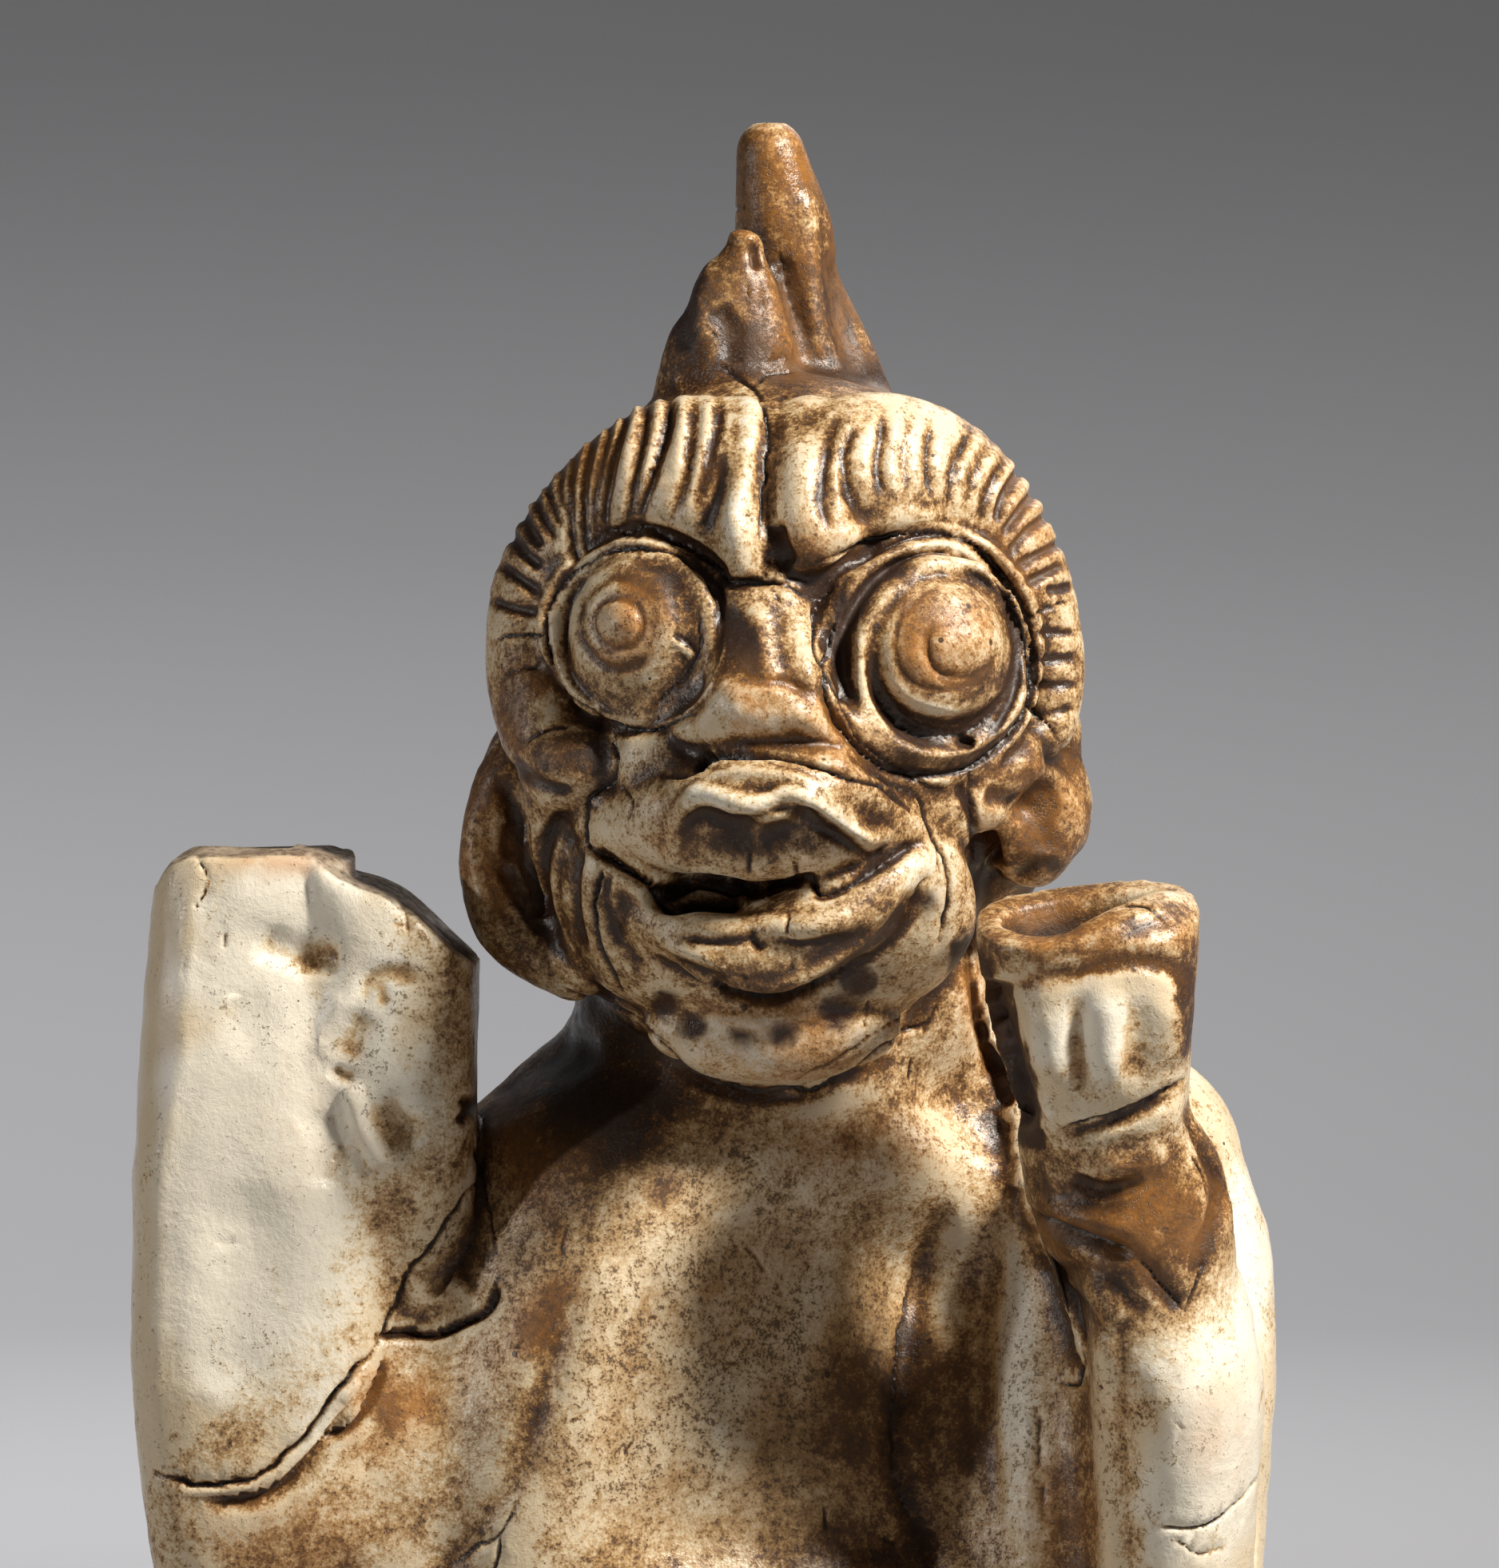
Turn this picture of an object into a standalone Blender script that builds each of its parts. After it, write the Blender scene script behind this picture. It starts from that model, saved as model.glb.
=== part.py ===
"""Ceramic demon figurine: a horned, grimacing figure kneeling on a low base.

One fired piece, so one solid. Lengths in this file are millimetres, and the
finished mesh is scaled to metres. The underside's middle is the origin, +Z is
up and the face looks along -Y.
"""
import math

import bmesh
import bpy
import numpy as np
from mathutils import Matrix, Vector

METRE = 0.001
TRIANGLES = 9700          # the finished solid's triangle count

BASE_RADII = (78, 67)     # oval base, across and deep
BASE_HEIGHT = 20
BASE_TAPER = 0.95

SKULL_AT = Vector((9, -10, 250))     # centre of the head
FACE_RADII = (40, 36, 52)            # ovoid that the face's lumps are laid on
FACE_DROP = 4                        # how far that ovoid's middle is below SKULL_AT

ARM_BREAK = 227           # height at which the raised arm is broken off flat
WEB_BREAK_TILT = 33       # degrees of slope on the web's broken edge
WEB_BREAK_AT = (-36, 0, 230.5)

FIST_TOP = (50, -49, 221)            # middle of the fist's cut top
FIST_TOP_TILT = 14                   # degrees the fist's top leans to the front
SOCKET_ROWS = [(51.8, -47.5, 200, 7, 5),
               (50.6, -48.5, 211, 10.6, 7.2),
               (50, -49, 232, 12, 8.8)]

BODY_GRAIN = 2.0          # voxel sizes: trunk and limbs, head, hand, whole
HEAD_GRAIN = 0.8
HAND_GRAIN = 0.9
WHOLE_GRAIN = 1.0

FRONT = Vector((0, -1, 0))


def smooth_rows(rows, count):
    """Spread rows evenly on a smooth curve through the given rows."""
    rows = np.array(rows, float)
    ends = (2 * rows[0] - rows[1], 2 * rows[-1] - rows[-2])
    padded = np.vstack([ends[0], rows, ends[1]])
    place = np.linspace(0, len(rows) - 1, count)
    index = np.minimum(place.astype(int), len(rows) - 2)
    t = (place - index)[:, None]
    a, b, c, d = (padded[index + k] for k in range(4))
    bend = (2 * a - 5 * b + 4 * c - d) * t ** 2 + (3 * b - a - 3 * c + d) * t ** 3
    return 0.5 * (2 * b + (c - a) * t + bend)


def frame_matrix(at, across, out, along):
    """Matrix that takes local X, Y, Z to the three given directions at a point."""
    matrix = Matrix((across, out, along)).transposed().to_4x4()
    matrix.translation = Vector(at)
    return matrix


def lump(at, radii):
    """An egg of clay."""
    bm = bmesh.new()
    matrix = Matrix.Translation(Vector(at)) @ Matrix.Diagonal((*radii, 1))
    bmesh.ops.create_icosphere(bm, subdivisions=4, radius=1, matrix=matrix)
    return bm


def roll(rows, facing=FRONT, square=2.0, sides=20, dome=4):
    """A rolled coil of clay with domed ends.

    Each row is x, y, z, half width and half thickness. The thickness points
    along facing, which is a direction or a function of the place. square is 2
    for a round section and more for a boxy one.
    """
    rows = np.array(rows, float)
    length = np.linalg.norm(np.diff(rows[:, :3], axis=0), axis=1).sum()
    spacing = max(0.8, rows[:, 3:].min() * 0.4)
    rows = smooth_rows(rows, max(4, int(length / spacing)))
    way = np.gradient(rows[:, :3], axis=0)
    way /= np.linalg.norm(way, axis=1)[:, None]
    angles = [math.radians(90 * k / (dome + 1)) for k in range(1, dome + 1)]
    rings = []
    for angle in angles:
        back = min(rows[0, 3], rows[0, 4]) * math.cos(angle)
        rings.append((rows[0, :3] - way[0] * back, way[0], rows[0, 3:] * math.sin(angle)))
    for row, direction in zip(rows, way):
        rings.append((row[:3], direction, row[3:]))
    for angle in reversed(angles):
        on = min(rows[-1, 3], rows[-1, 4]) * math.cos(angle)
        rings.append((rows[-1, :3] + way[-1] * on, way[-1], rows[-1, 3:] * math.sin(angle)))
    bm = bmesh.new()
    edges = []
    for at, direction, (wide, thick) in rings:
        along = Vector(direction)
        out = Vector(facing(at)) if callable(facing) else Vector(facing)
        out = (out - along * out.dot(along)).normalized()
        matrix = frame_matrix(at, along.cross(out) * wide, out * thick, along)
        ring = bmesh.ops.create_circle(bm, cap_ends=False, radius=1, segments=sides)["verts"]
        for vert in ring:
            vert.co.x = math.copysign(abs(vert.co.x) ** (2 / square), vert.co.x)
            vert.co.y = math.copysign(abs(vert.co.y) ** (2 / square), vert.co.y)
        bmesh.ops.transform(bm, matrix=matrix, verts=ring)
        loop = list({edge for vert in ring for edge in vert.link_edges})
        if edges:
            bmesh.ops.bridge_loops(bm, edges=edges + loop)
        edges = loop
    bmesh.ops.holes_fill(bm, edges=bm.edges[:], sides=sides)
    bmesh.ops.recalc_face_normals(bm, faces=bm.faces[:])
    return bm


def block(at, size, turn=0, lean=0):
    """A box for flat breaks: lean turns it about X and turn about Y, in degrees."""
    bm = bmesh.new()
    spin = Matrix.Rotation(math.radians(lean), 4, 'X') @ Matrix.Rotation(math.radians(turn), 4, 'Y')
    matrix = Matrix.Translation(Vector(at)) @ spin @ Matrix.Diagonal((*size, 1))
    bmesh.ops.create_cube(bm, size=1, matrix=matrix)
    return bm


def face_point(u, w, lift):
    """The place lift mm proud of the face, u across and w up from the head's centre."""
    wide, deep, high = FACE_RADII
    left = 1 - (u / wide) ** 2 - ((w + FACE_DROP) / high) ** 2
    depth = deep * math.sqrt(max(0.04, left))
    return SKULL_AT + Vector((u, -depth - lift, w))


def face_out(at):
    """The way out of the face at a place."""
    wide, deep, high = FACE_RADII
    off = Vector(at) - SKULL_AT
    out = Vector((off.x / wide ** 2, min(off.y, -8) / deep ** 2, (off.z + FACE_DROP) / high ** 2))
    return out.normalized()


def face_roll(rows, square=2.0):
    """A coil laid on the face: rows of u, w, lift, half width, half thickness."""
    placed = [(*face_point(u, w, lift), wide, thick) for u, w, lift, wide, thick in rows]
    return roll(placed, facing=face_out, square=square)


def face_lump(u, w, lift, radii):
    """An egg laid on the face: radii across, out of the face, and up."""
    at = face_point(u, w, lift)
    spin = face_out(at).to_track_quat('-Y', 'Z').to_matrix().to_4x4()
    bm = bmesh.new()
    matrix = Matrix.Translation(at) @ spin @ Matrix.Diagonal((*radii, 1))
    bmesh.ops.create_icosphere(bm, subdivisions=4, radius=1, matrix=matrix)
    return bm


def face_ring(u, w, lift, across, up, wide, thick):
    """A coil laid round an eye."""
    rows = []
    for k in range(17):
        angle = 2 * math.pi * k / 16
        rows.append((u + across * math.cos(angle), w + up * math.sin(angle), lift, wide, thick))
    return face_roll(rows)


def make_object(name, pieces):
    """One object from several bmeshes, which are freed."""
    whole = bmesh.new()
    for piece in pieces:
        mesh = bpy.data.meshes.new("piece")
        piece.to_mesh(mesh)
        piece.free()
        whole.from_mesh(mesh)
        bpy.data.meshes.remove(mesh)
    mesh = bpy.data.meshes.new(name)
    whole.to_mesh(mesh)
    whole.free()
    obj = bpy.data.objects.new(name, mesh)
    bpy.context.scene.collection.objects.link(obj)
    return obj


def apply_modifiers(obj):
    """Replace an object's mesh by what its modifiers make of it."""
    graph = bpy.context.evaluated_depsgraph_get()
    mesh = bpy.data.meshes.new_from_object(obj.evaluated_get(graph))
    old = obj.data
    obj.modifiers.clear()
    obj.data = mesh
    bpy.data.meshes.remove(old)


def fuse(obj, grain, smoothing):
    """Knead overlapping lumps into one skin of the given grain."""
    remesh = obj.modifiers.new("fuse", 'REMESH')
    remesh.mode = 'VOXEL'
    remesh.voxel_size = grain
    smooth = obj.modifiers.new("smooth", 'SMOOTH')
    smooth.iterations = smoothing
    smooth.factor = 0.5
    apply_modifiers(obj)


def cut(obj, pieces):
    """Take pieces away from an object."""
    cutter = make_object("cutter", pieces)
    modifier = obj.modifiers.new("cut", 'BOOLEAN')
    modifier.operation = 'DIFFERENCE'
    modifier.solver = 'EXACT'
    modifier.object = cutter
    apply_modifiers(obj)
    mesh = cutter.data
    bpy.data.objects.remove(cutter)
    bpy.data.meshes.remove(mesh)


def join(name, objects):
    """One object holding the meshes of several, which are removed."""
    whole = bmesh.new()
    for obj in objects:
        whole.from_mesh(obj.data)
        mesh = obj.data
        bpy.data.objects.remove(obj)
        bpy.data.meshes.remove(mesh)
    mesh = bpy.data.meshes.new(name)
    whole.to_mesh(mesh)
    whole.free()
    obj = bpy.data.objects.new(name, mesh)
    bpy.context.scene.collection.objects.link(obj)
    return obj


def base_lumps():
    """The low base, deeper than it will be, and the kneeling legs on it."""
    slab = bmesh.new()
    depth = BASE_HEIGHT + 6
    matrix = Matrix.Translation((0, 0, BASE_HEIGHT - depth / 2)) @ Matrix.Diagonal((*BASE_RADII, 1, 1))
    bmesh.ops.create_cone(slab, cap_ends=True, segments=48, radius1=1, radius2=BASE_TAPER,
                          depth=depth, matrix=matrix)
    pieces = [slab]
    for s in (-1, 1):
        # thigh, hip to knee, and the shin folded under it
        pieces.append(roll([(s * 22, 14, 66, 27, 27),
                            (s * 38, -14, 54, 25, 25),
                            (s * 47, -36, 42, 21, 21)]))
        pieces.append(roll([(s * 50, -36, 30, 17, 14),
                            (s * 47, 0, 27, 17, 14),
                            (s * 38, 34, 27, 14, 12),
                            (s * 32, 50, 28, 13, 9)]))
    pieces.append(lump((0, 24, 56), (44, 32, 36)))
    pieces.append(lump((0, -16, 44), (42, 30, 34)))
    return pieces


def trunk_lumps():
    """Trunk, shoulders and neck."""
    trunk = roll([(0, 6, 62, 44, 37),
                  (0, 0, 88, 47, 37),
                  (0, -3, 116, 52, 38),
                  (1, -3, 146, 53, 36.5),
                  (4, -1, 168, 47, 33)], sides=64)
    shoulders = roll([(-30, 6, 174, 15, 16),
                      (-12, 6, 184, 20, 18),
                      (6, 6, 190, 22, 22),
                      (28, 6, 187, 20, 18),
                      (59, 8, 181, 16, 16)], sides=40)
    neck = roll([(6, 2, 185, 28, 26), (7, 0, 205, 28, 26), (8, 0, 222, 27, 27)], sides=40)
    belly = lump((0, -12, 92), (42, 31, 32))
    back = lump((2, 4, 150), (50, 33, 44))
    return [trunk, shoulders, neck, belly, back, lump((26, -2, 207), (13.5, 18, 19))]


def arm_lumps():
    """The broken slab of one arm, and the other arm up to the wrist."""
    upper = roll([(-40, 10, 172, 15, 16),
                  (-56, 8, 152, 17, 17),
                  (-62, 2, 128, 18, 17),
                  (-60, -5, 108, 16, 16)])
    slab = roll([(-60, -9, 106, 15, 13),
                 (-62.5, -13, 128, 18, 16),
                 (-63.5, -15, 150, 19, 15.5),
                 (-64, -16, 170, 19.3, 15),
                 (-65.5, -16, 190, 17, 14),
                 (-66.3, -15, 207, 14.5, 13),
                 (-65.3, -14, 223, 14, 12.5),
                 (-65.3, -14, 236, 14, 12.5)], square=3.4)
    shoulder = roll([(58, 9, 181, 14, 16),
                     (64, 8, 168, 15, 17),
                     (65.5, 2, 150, 14, 17),
                     (63, -6, 122, 15, 18)])
    forearm = roll([(60, -14, 108, 15, 15),
                    (62.5, -26, 132, 12.5, 13),
                    (64, -32, 150, 12, 12),
                    (63, -35, 164, 11, 11)])
    flanks = [lump((-44, -3, 132), (26, 26, 46)), lump((45, -6, 136), (24, 26, 50))]
    return [upper, slab, shoulder, forearm] + flanks


def make_body():
    body = make_object("body", base_lumps() + trunk_lumps() + arm_lumps())
    fuse(body, BODY_GRAIN, 16)
    cut(body, [block((-70, -10, ARM_BREAK + 20), (80, 100, 40))])
    return body


def make_web():
    """The thinner clay beside the broken arm, with its sloping broken edge."""
    web = make_object("web", [roll([(-54, -10, 156, 12, 9),
                                    (-48, -9, 176, 13.5, 8.5),
                                    (-46, -9, 197, 12, 8),
                                    (-46, -9, 216, 12, 8),
                                    (-48, -9, 232, 12, 8)], square=3)])
    fuse(web, 1.2, 3)
    cut(web, [block(WEB_BREAK_AT, (60, 60, 30), turn=WEB_BREAK_TILT)])
    return web


def make_hand():
    """Wrist and fist, with a hollow down through the fist's top."""
    wrist = roll([(62, -34, 156, 11, 10),
                  (59, -38, 168, 12.5, 11),
                  (56.5, -40, 180, 14, 12),
                  (53.5, -43, 190, 12.5, 11)])
    fist = roll([(53, -46, 196, 12, 11),
                 (51.5, -48, 204, 13.6, 12.5),
                 (50.3, -49, 214, 15, 13.5),
                 (50, -49, 226, 15.5, 13.5)], square=2.8)
    hand = make_object("hand", [wrist, fist])
    fuse(hand, HAND_GRAIN, 3)
    above = Vector(FIST_TOP) + Vector((0, 0, 15))
    cut(hand, [block(above, (60, 60, 30), turn=-4, lean=FIST_TOP_TILT)])
    cut(hand, [roll(SOCKET_ROWS)])
    return hand


def brow_lumps():
    """The heavy brows, each a broad band from the middle down past the eye."""
    left = face_roll([(-7.5, 30, 0.5, 12, 6.5),
                      (-16, 31, 0.5, 11, 7),
                      (-23, 28.5, 0, 10, 7),
                      (-29.5, 22.5, 0, 9, 6.5),
                      (-34, 13.5, 0, 7.5, 6),
                      (-35.2, 3, 0, 7, 5.5),
                      (-34, -4, 0.5, 6.8, 5),
                      (-31.5, -9.5, 1, 6.4, 5)])
    right = face_roll([(3.5, 29, 0.5, 7, 6.5),
                       (10, 30.5, 1, 11, 7.5),
                       (19, 31, 0.5, 10.5, 7),
                       (27, 26.5, 0, 9.5, 6.5),
                       (33, 18, 0, 8, 6),
                       (36, 9, 0, 6.5, 5.5),
                       (37, 1, 0, 6, 5),
                       (36.3, -5, 0, 4.5, 4.5)])
    left_fold = face_roll([(-6.8, 37, -1, 3, 5),
                           (-6, 30, 1.2, 3.4, 6),
                           (-5.8, 22, 2.2, 3.4, 6),
                           (-5.8, 18, 2, 3.2, 5)])
    right_fold = face_roll([(3.4, 35, -0.5, 6.5, 6), (3.6, 28, 1.5, 6.8, 7), (3.8, 22, 2, 6.6, 6.5)])
    return [left, right, left_fold, right_fold, face_lump(-29.5, -10.5, 1.5, (8, 6, 6.5))]


def cheek_lumps():
    """Cheekbones and the muzzle that the mouth is laid on."""
    return [face_roll([(32, -9, 0, 5, 4), (25, -15, -1, 6, 4.5), (13, -15, -1, 5, 4)]),
            face_roll([(-31, -14, -1, 6, 5), (-31, -24, -1, 6, 5), (-26, -36, -1, 6, 5)]),
            face_lump(-2, -29, -8, (29, 13, 22)),
            face_lump(-4, -10, -1, (20, 7, 12))]


def ear_lumps():
    x, y, z = SKULL_AT
    rim = roll([(x - 33, y - 2, z - 7, 4.5, 4.5),
                (x - 38.5, y - 4, z - 14, 5, 5),
                (x - 40.5, y - 5, z - 25, 5.2, 5),
                (x - 37.5, y - 8, z - 34, 5.5, 5),
                (x - 29, y - 11, z - 39, 5.5, 5)])
    root = roll([(x + 27, y - 16, z - 10, 5, 5),
                 (x + 33, y - 10, z - 11, 6, 6),
                 (x + 36, y - 2, z - 14, 6, 7)])
    return [lump((x - 35, y + 4, z - 21), (9, 13, 18)), rim,
            lump((x + 34.2, y - 2, z - 16.5), (9.2, 12, 11)), root]


def horn_lumps():
    """A leaf-shaped horn in front of a taller one."""
    x, y, z = SKULL_AT
    front = roll([(x - 8.3, y + 1, z + 36, 11, 9),
                  (x - 8, y + 2, z + 43, 9.8, 7.5),
                  (x - 7.2, y + 2, z + 50, 8.7, 6.5),
                  (x - 6.1, y + 2, z + 57, 6, 5),
                  (x - 5.4, y + 2, z + 61.5, 3.1, 3.3)], square=2.2)
    rear = roll([(x + 5, y + 18, z + 32, 15, 14),
                 (x + 4, y + 17, z + 42, 11.5, 12),
                 (x + 2.2, y + 16, z + 50, 9.2, 10.5),
                 (x + 1, y + 15.5, z + 57, 8, 9.5),
                 (x - 0.4, y + 14, z + 66, 6.9, 8),
                 (x - 1.8, y + 13, z + 74.8, 4.9, 6)])
    return [front, rear]


def skull_lumps():
    x, y, z = SKULL_AT
    return [lump((x, y + 10, z + 5), (37, 40, 40)),
            lump((x, y + 1, z + 6), (39.5, 37, 38)),
            lump((x - 3, y + 1, z - 20), (31.5, 36, 37)),
            lump((x - 7, y + 6, z - 24), (31, 30, 25))]


def eye_lumps():
    """Each eye: a rim, the bulging ball and a raised pupil."""
    return [face_ring(-20.3, 8.2, 0.8, 10.7, 11.2, 1.7, 3.6),
            face_lump(-20.2, 8.5, 0.4, (10.2, 6, 11.2)),
            face_ring(-21.7, 9.9, 4.9, 5.4, 6.2, 0.9, 1.4),
            face_lump(-21.7, 10.4, 5.6, (3.9, 2.2, 4.4)),
            face_ring(19.4, 4.7, 0.2, 13.6, 15.8, 1.8, 4.2),
            face_ring(20.4, 4.4, 2, 11, 12.4, 1.7, 4.4),
            face_lump(20, 5.8, 1.5, (10.4, 8.2, 10.6)),
            face_lump(24.3, 7.1, 8.6, (4.3, 2.4, 4.3))]


def nose_lumps():
    bridge = face_roll([(-3, 18, -1, 6.5, 4), (-3, 8, 0.8, 6.2, 5), (-2.8, 0, 4.5, 6.2, 6)], square=3)
    wings = face_roll([(-22, -8, -1, 4, 3.5),
                       (-14.5, -5.5, 1, 4.5, 5),
                       (-8, -3, 3.6, 4.6, 5.5),
                       (-2.2, -2.3, 5.2, 4.8, 5.5),
                       (5, -4.2, 3.4, 4.8, 5),
                       (11, -8.6, 1.8, 4, 4.5),
                       (18, -14.5, 0, 3, 3)])
    return [bridge, wings]


def mouth_lumps():
    """The jutting upper lip with its bow-shaped crest, the lower lip and the chin."""
    upper = face_roll([(-24.5, -18, -1, 4.5, 4.5),
                       (-15.5, -17, 3.4, 7.4, 6),
                       (-2.5, -16, 6, 9.4, 7),
                       (8.5, -16.5, 4, 7.6, 6),
                       (17.5, -18, -0.5, 3.8, 4)])
    crest = face_roll([(-14.2, -21, 7, 2, 3.4),
                       (-13.6, -16.4, 9, 2.2, 3.4),
                       (-10.6, -13.6, 10.6, 2.5, 3.4),
                       (-5.6, -14.2, 12.2, 2.5, 3.4),
                       (-1.7, -15.2, 12.6, 2.3, 3.4),
                       (2.8, -13.2, 12, 2.5, 3.4),
                       (6.7, -14.8, 10.5, 2.4, 3.4),
                       (10, -18, 8.4, 2.1, 3.2),
                       (12.6, -18.5, 6.5, 2, 3)])
    lower = face_roll([(-22.5, -25, 0, 3.4, 4),
                       (-15, -32, 4.6, 4.6, 5.5),
                       (-8.5, -34.8, 7.2, 5, 6),
                       (-1.8, -35.6, 8.4, 5.2, 6.5),
                       (5, -34.4, 7.2, 5, 6),
                       (12, -29.8, 4.8, 4.8, 5),
                       (18, -23, 0.5, 3.8, 4)])
    return [upper, crest, lower, face_lump(-1.5, -46.5, 0, (18, 9, 8.5))]


def make_head():
    head = make_object("skull", skull_lumps() + brow_lumps() + cheek_lumps() + ear_lumps() + horn_lumps())
    fuse(head, 0.9, 3)
    mouth = face_roll([(-22, -22, 3, 1.6, 6),
                       (-14, -26, 6, 2.6, 10),
                       (-3, -28.5, 7, 3.2, 12),
                       (7, -26.5, 6, 2.4, 10),
                       (16, -21.5, 3, 1.2, 6)])
    left_socket = face_lump(-20.2, 8.4, 1.5, (10.2, 5, 10.8))
    right_socket = face_lump(19.6, 4.8, 2.5, (13, 7.5, 15.2))
    cut(head, [left_socket, right_socket, mouth])
    features = make_object("features", eye_lumps() + nose_lumps() + mouth_lumps())
    head = join("head", [head, features])
    fuse(head, HEAD_GRAIN, 2)
    return head


def finish(figurine):
    """Thin the skin to its triangle count, cut the underside flat, go to metres."""
    thin = figurine.modifiers.new("thin", 'DECIMATE')
    faces = sum(len(face.vertices) - 2 for face in figurine.data.polygons)
    thin.ratio = TRIANGLES / faces
    thin.use_collapse_triangulate = True
    apply_modifiers(figurine)
    bm = bmesh.new()
    bm.from_mesh(figurine.data)
    geometry = bm.verts[:] + bm.edges[:] + bm.faces[:]
    bmesh.ops.bisect_plane(bm, geom=geometry, dist=0.001, plane_co=(0, 0, 0),
                           plane_no=(0, 0, -1), clear_outer=True)
    rim = [edge for edge in bm.edges if edge.is_boundary]
    bmesh.ops.contextual_create(bm, geom=rim)
    bmesh.ops.triangulate(bm, faces=bm.faces[:])
    bmesh.ops.recalc_face_normals(bm, faces=bm.faces[:])
    bmesh.ops.scale(bm, vec=(METRE, METRE, METRE), verts=bm.verts[:])
    bm.to_mesh(figurine.data)
    bm.free()
    figurine.data.shade_smooth()
    figurine.data.set_sharp_from_angle(angle=math.radians(50))


def glaze():
    material = bpy.data.materials.new("glaze")
    material.use_nodes = True
    shader = material.node_tree.nodes["Principled BSDF"]
    shader.inputs["Base Color"].default_value = (0.62, 0.53, 0.40, 1)
    shader.inputs["Roughness"].default_value = 0.32
    shader.inputs["Metallic"].default_value = 0
    return material


def main():
    for obj in list(bpy.data.objects):
        bpy.data.objects.remove(obj)
    parts = [make_body(), make_web(), make_head(), make_hand()]
    figurine = join("figurine", parts)
    fuse(figurine, WHOLE_GRAIN, 1)
    finish(figurine)
    figurine.data.materials.clear()
    figurine.data.materials.append(glaze())


main()
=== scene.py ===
import math

import bmesh
import bpy
import numpy as np
from mathutils import Matrix, Vector


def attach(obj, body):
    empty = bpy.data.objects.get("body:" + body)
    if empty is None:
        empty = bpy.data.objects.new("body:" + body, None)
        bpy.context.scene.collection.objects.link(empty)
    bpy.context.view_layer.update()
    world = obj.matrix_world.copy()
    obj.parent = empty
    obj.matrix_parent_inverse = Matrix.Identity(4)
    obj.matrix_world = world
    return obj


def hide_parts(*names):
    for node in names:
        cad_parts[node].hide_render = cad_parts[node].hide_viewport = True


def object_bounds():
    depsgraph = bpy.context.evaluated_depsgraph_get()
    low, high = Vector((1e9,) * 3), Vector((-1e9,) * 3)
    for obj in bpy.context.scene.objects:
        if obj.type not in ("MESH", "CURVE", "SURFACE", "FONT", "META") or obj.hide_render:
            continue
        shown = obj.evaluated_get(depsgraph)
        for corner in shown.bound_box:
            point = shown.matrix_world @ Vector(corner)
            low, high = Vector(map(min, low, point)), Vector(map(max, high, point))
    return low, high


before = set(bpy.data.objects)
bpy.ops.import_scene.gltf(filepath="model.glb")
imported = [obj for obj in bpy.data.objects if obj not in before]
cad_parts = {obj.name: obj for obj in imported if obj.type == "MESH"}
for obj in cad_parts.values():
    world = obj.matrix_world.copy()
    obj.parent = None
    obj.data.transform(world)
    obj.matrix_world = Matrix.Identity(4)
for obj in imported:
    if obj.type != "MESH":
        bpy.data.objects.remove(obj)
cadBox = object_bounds()
print("frame loaded")

# Lengths are millimetres until the figurine is finished, and then metres.
clay = {
    "skullAt": Vector((9, -10, 250)),
    "faceRadii": (40, 36, 52),       # ovoid that the face's lumps are laid on
    "faceDrop": 4,
    "baseRadii": (78, 67),
    "baseHeight": 20,
    "armBreak": 227,                 # where the raised arm is broken off flat
    "webBreakAt": (-36, 0, 230.5),
    "webBreakTilt": 33,
    "fistTop": (50, -49, 221),
    "fistTopTilt": 14,
    "grain": 0.55,
    "triangles": 192000,
    "keepDetail": 0.00002,           # how firmly the tooled places keep their triangles
}
front = Vector((0, -1, 0))


def smoothRows(rows, count):
    rows = np.array(rows, float)
    padded = np.vstack([2 * rows[0] - rows[1], rows, 2 * rows[-1] - rows[-2]])
    place = np.linspace(0, len(rows) - 1, count)
    index = np.minimum(place.astype(int), len(rows) - 2)
    t = (place - index)[:, None]
    a, b, c, d = (padded[index + k] for k in range(4))
    bend = (2 * a - 5 * b + 4 * c - d) * t ** 2 + (3 * b - a - 3 * c + d) * t ** 3
    return 0.5 * (2 * b + (c - a) * t + bend)


def lump(at, radii, spin=Matrix()):
    bm = bmesh.new()
    matrix = Matrix.Translation(Vector(at)) @ spin @ Matrix.Diagonal((*radii, 1))
    bmesh.ops.create_icosphere(bm, subdivisions=5, radius=1, matrix=matrix)
    return bm


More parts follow.
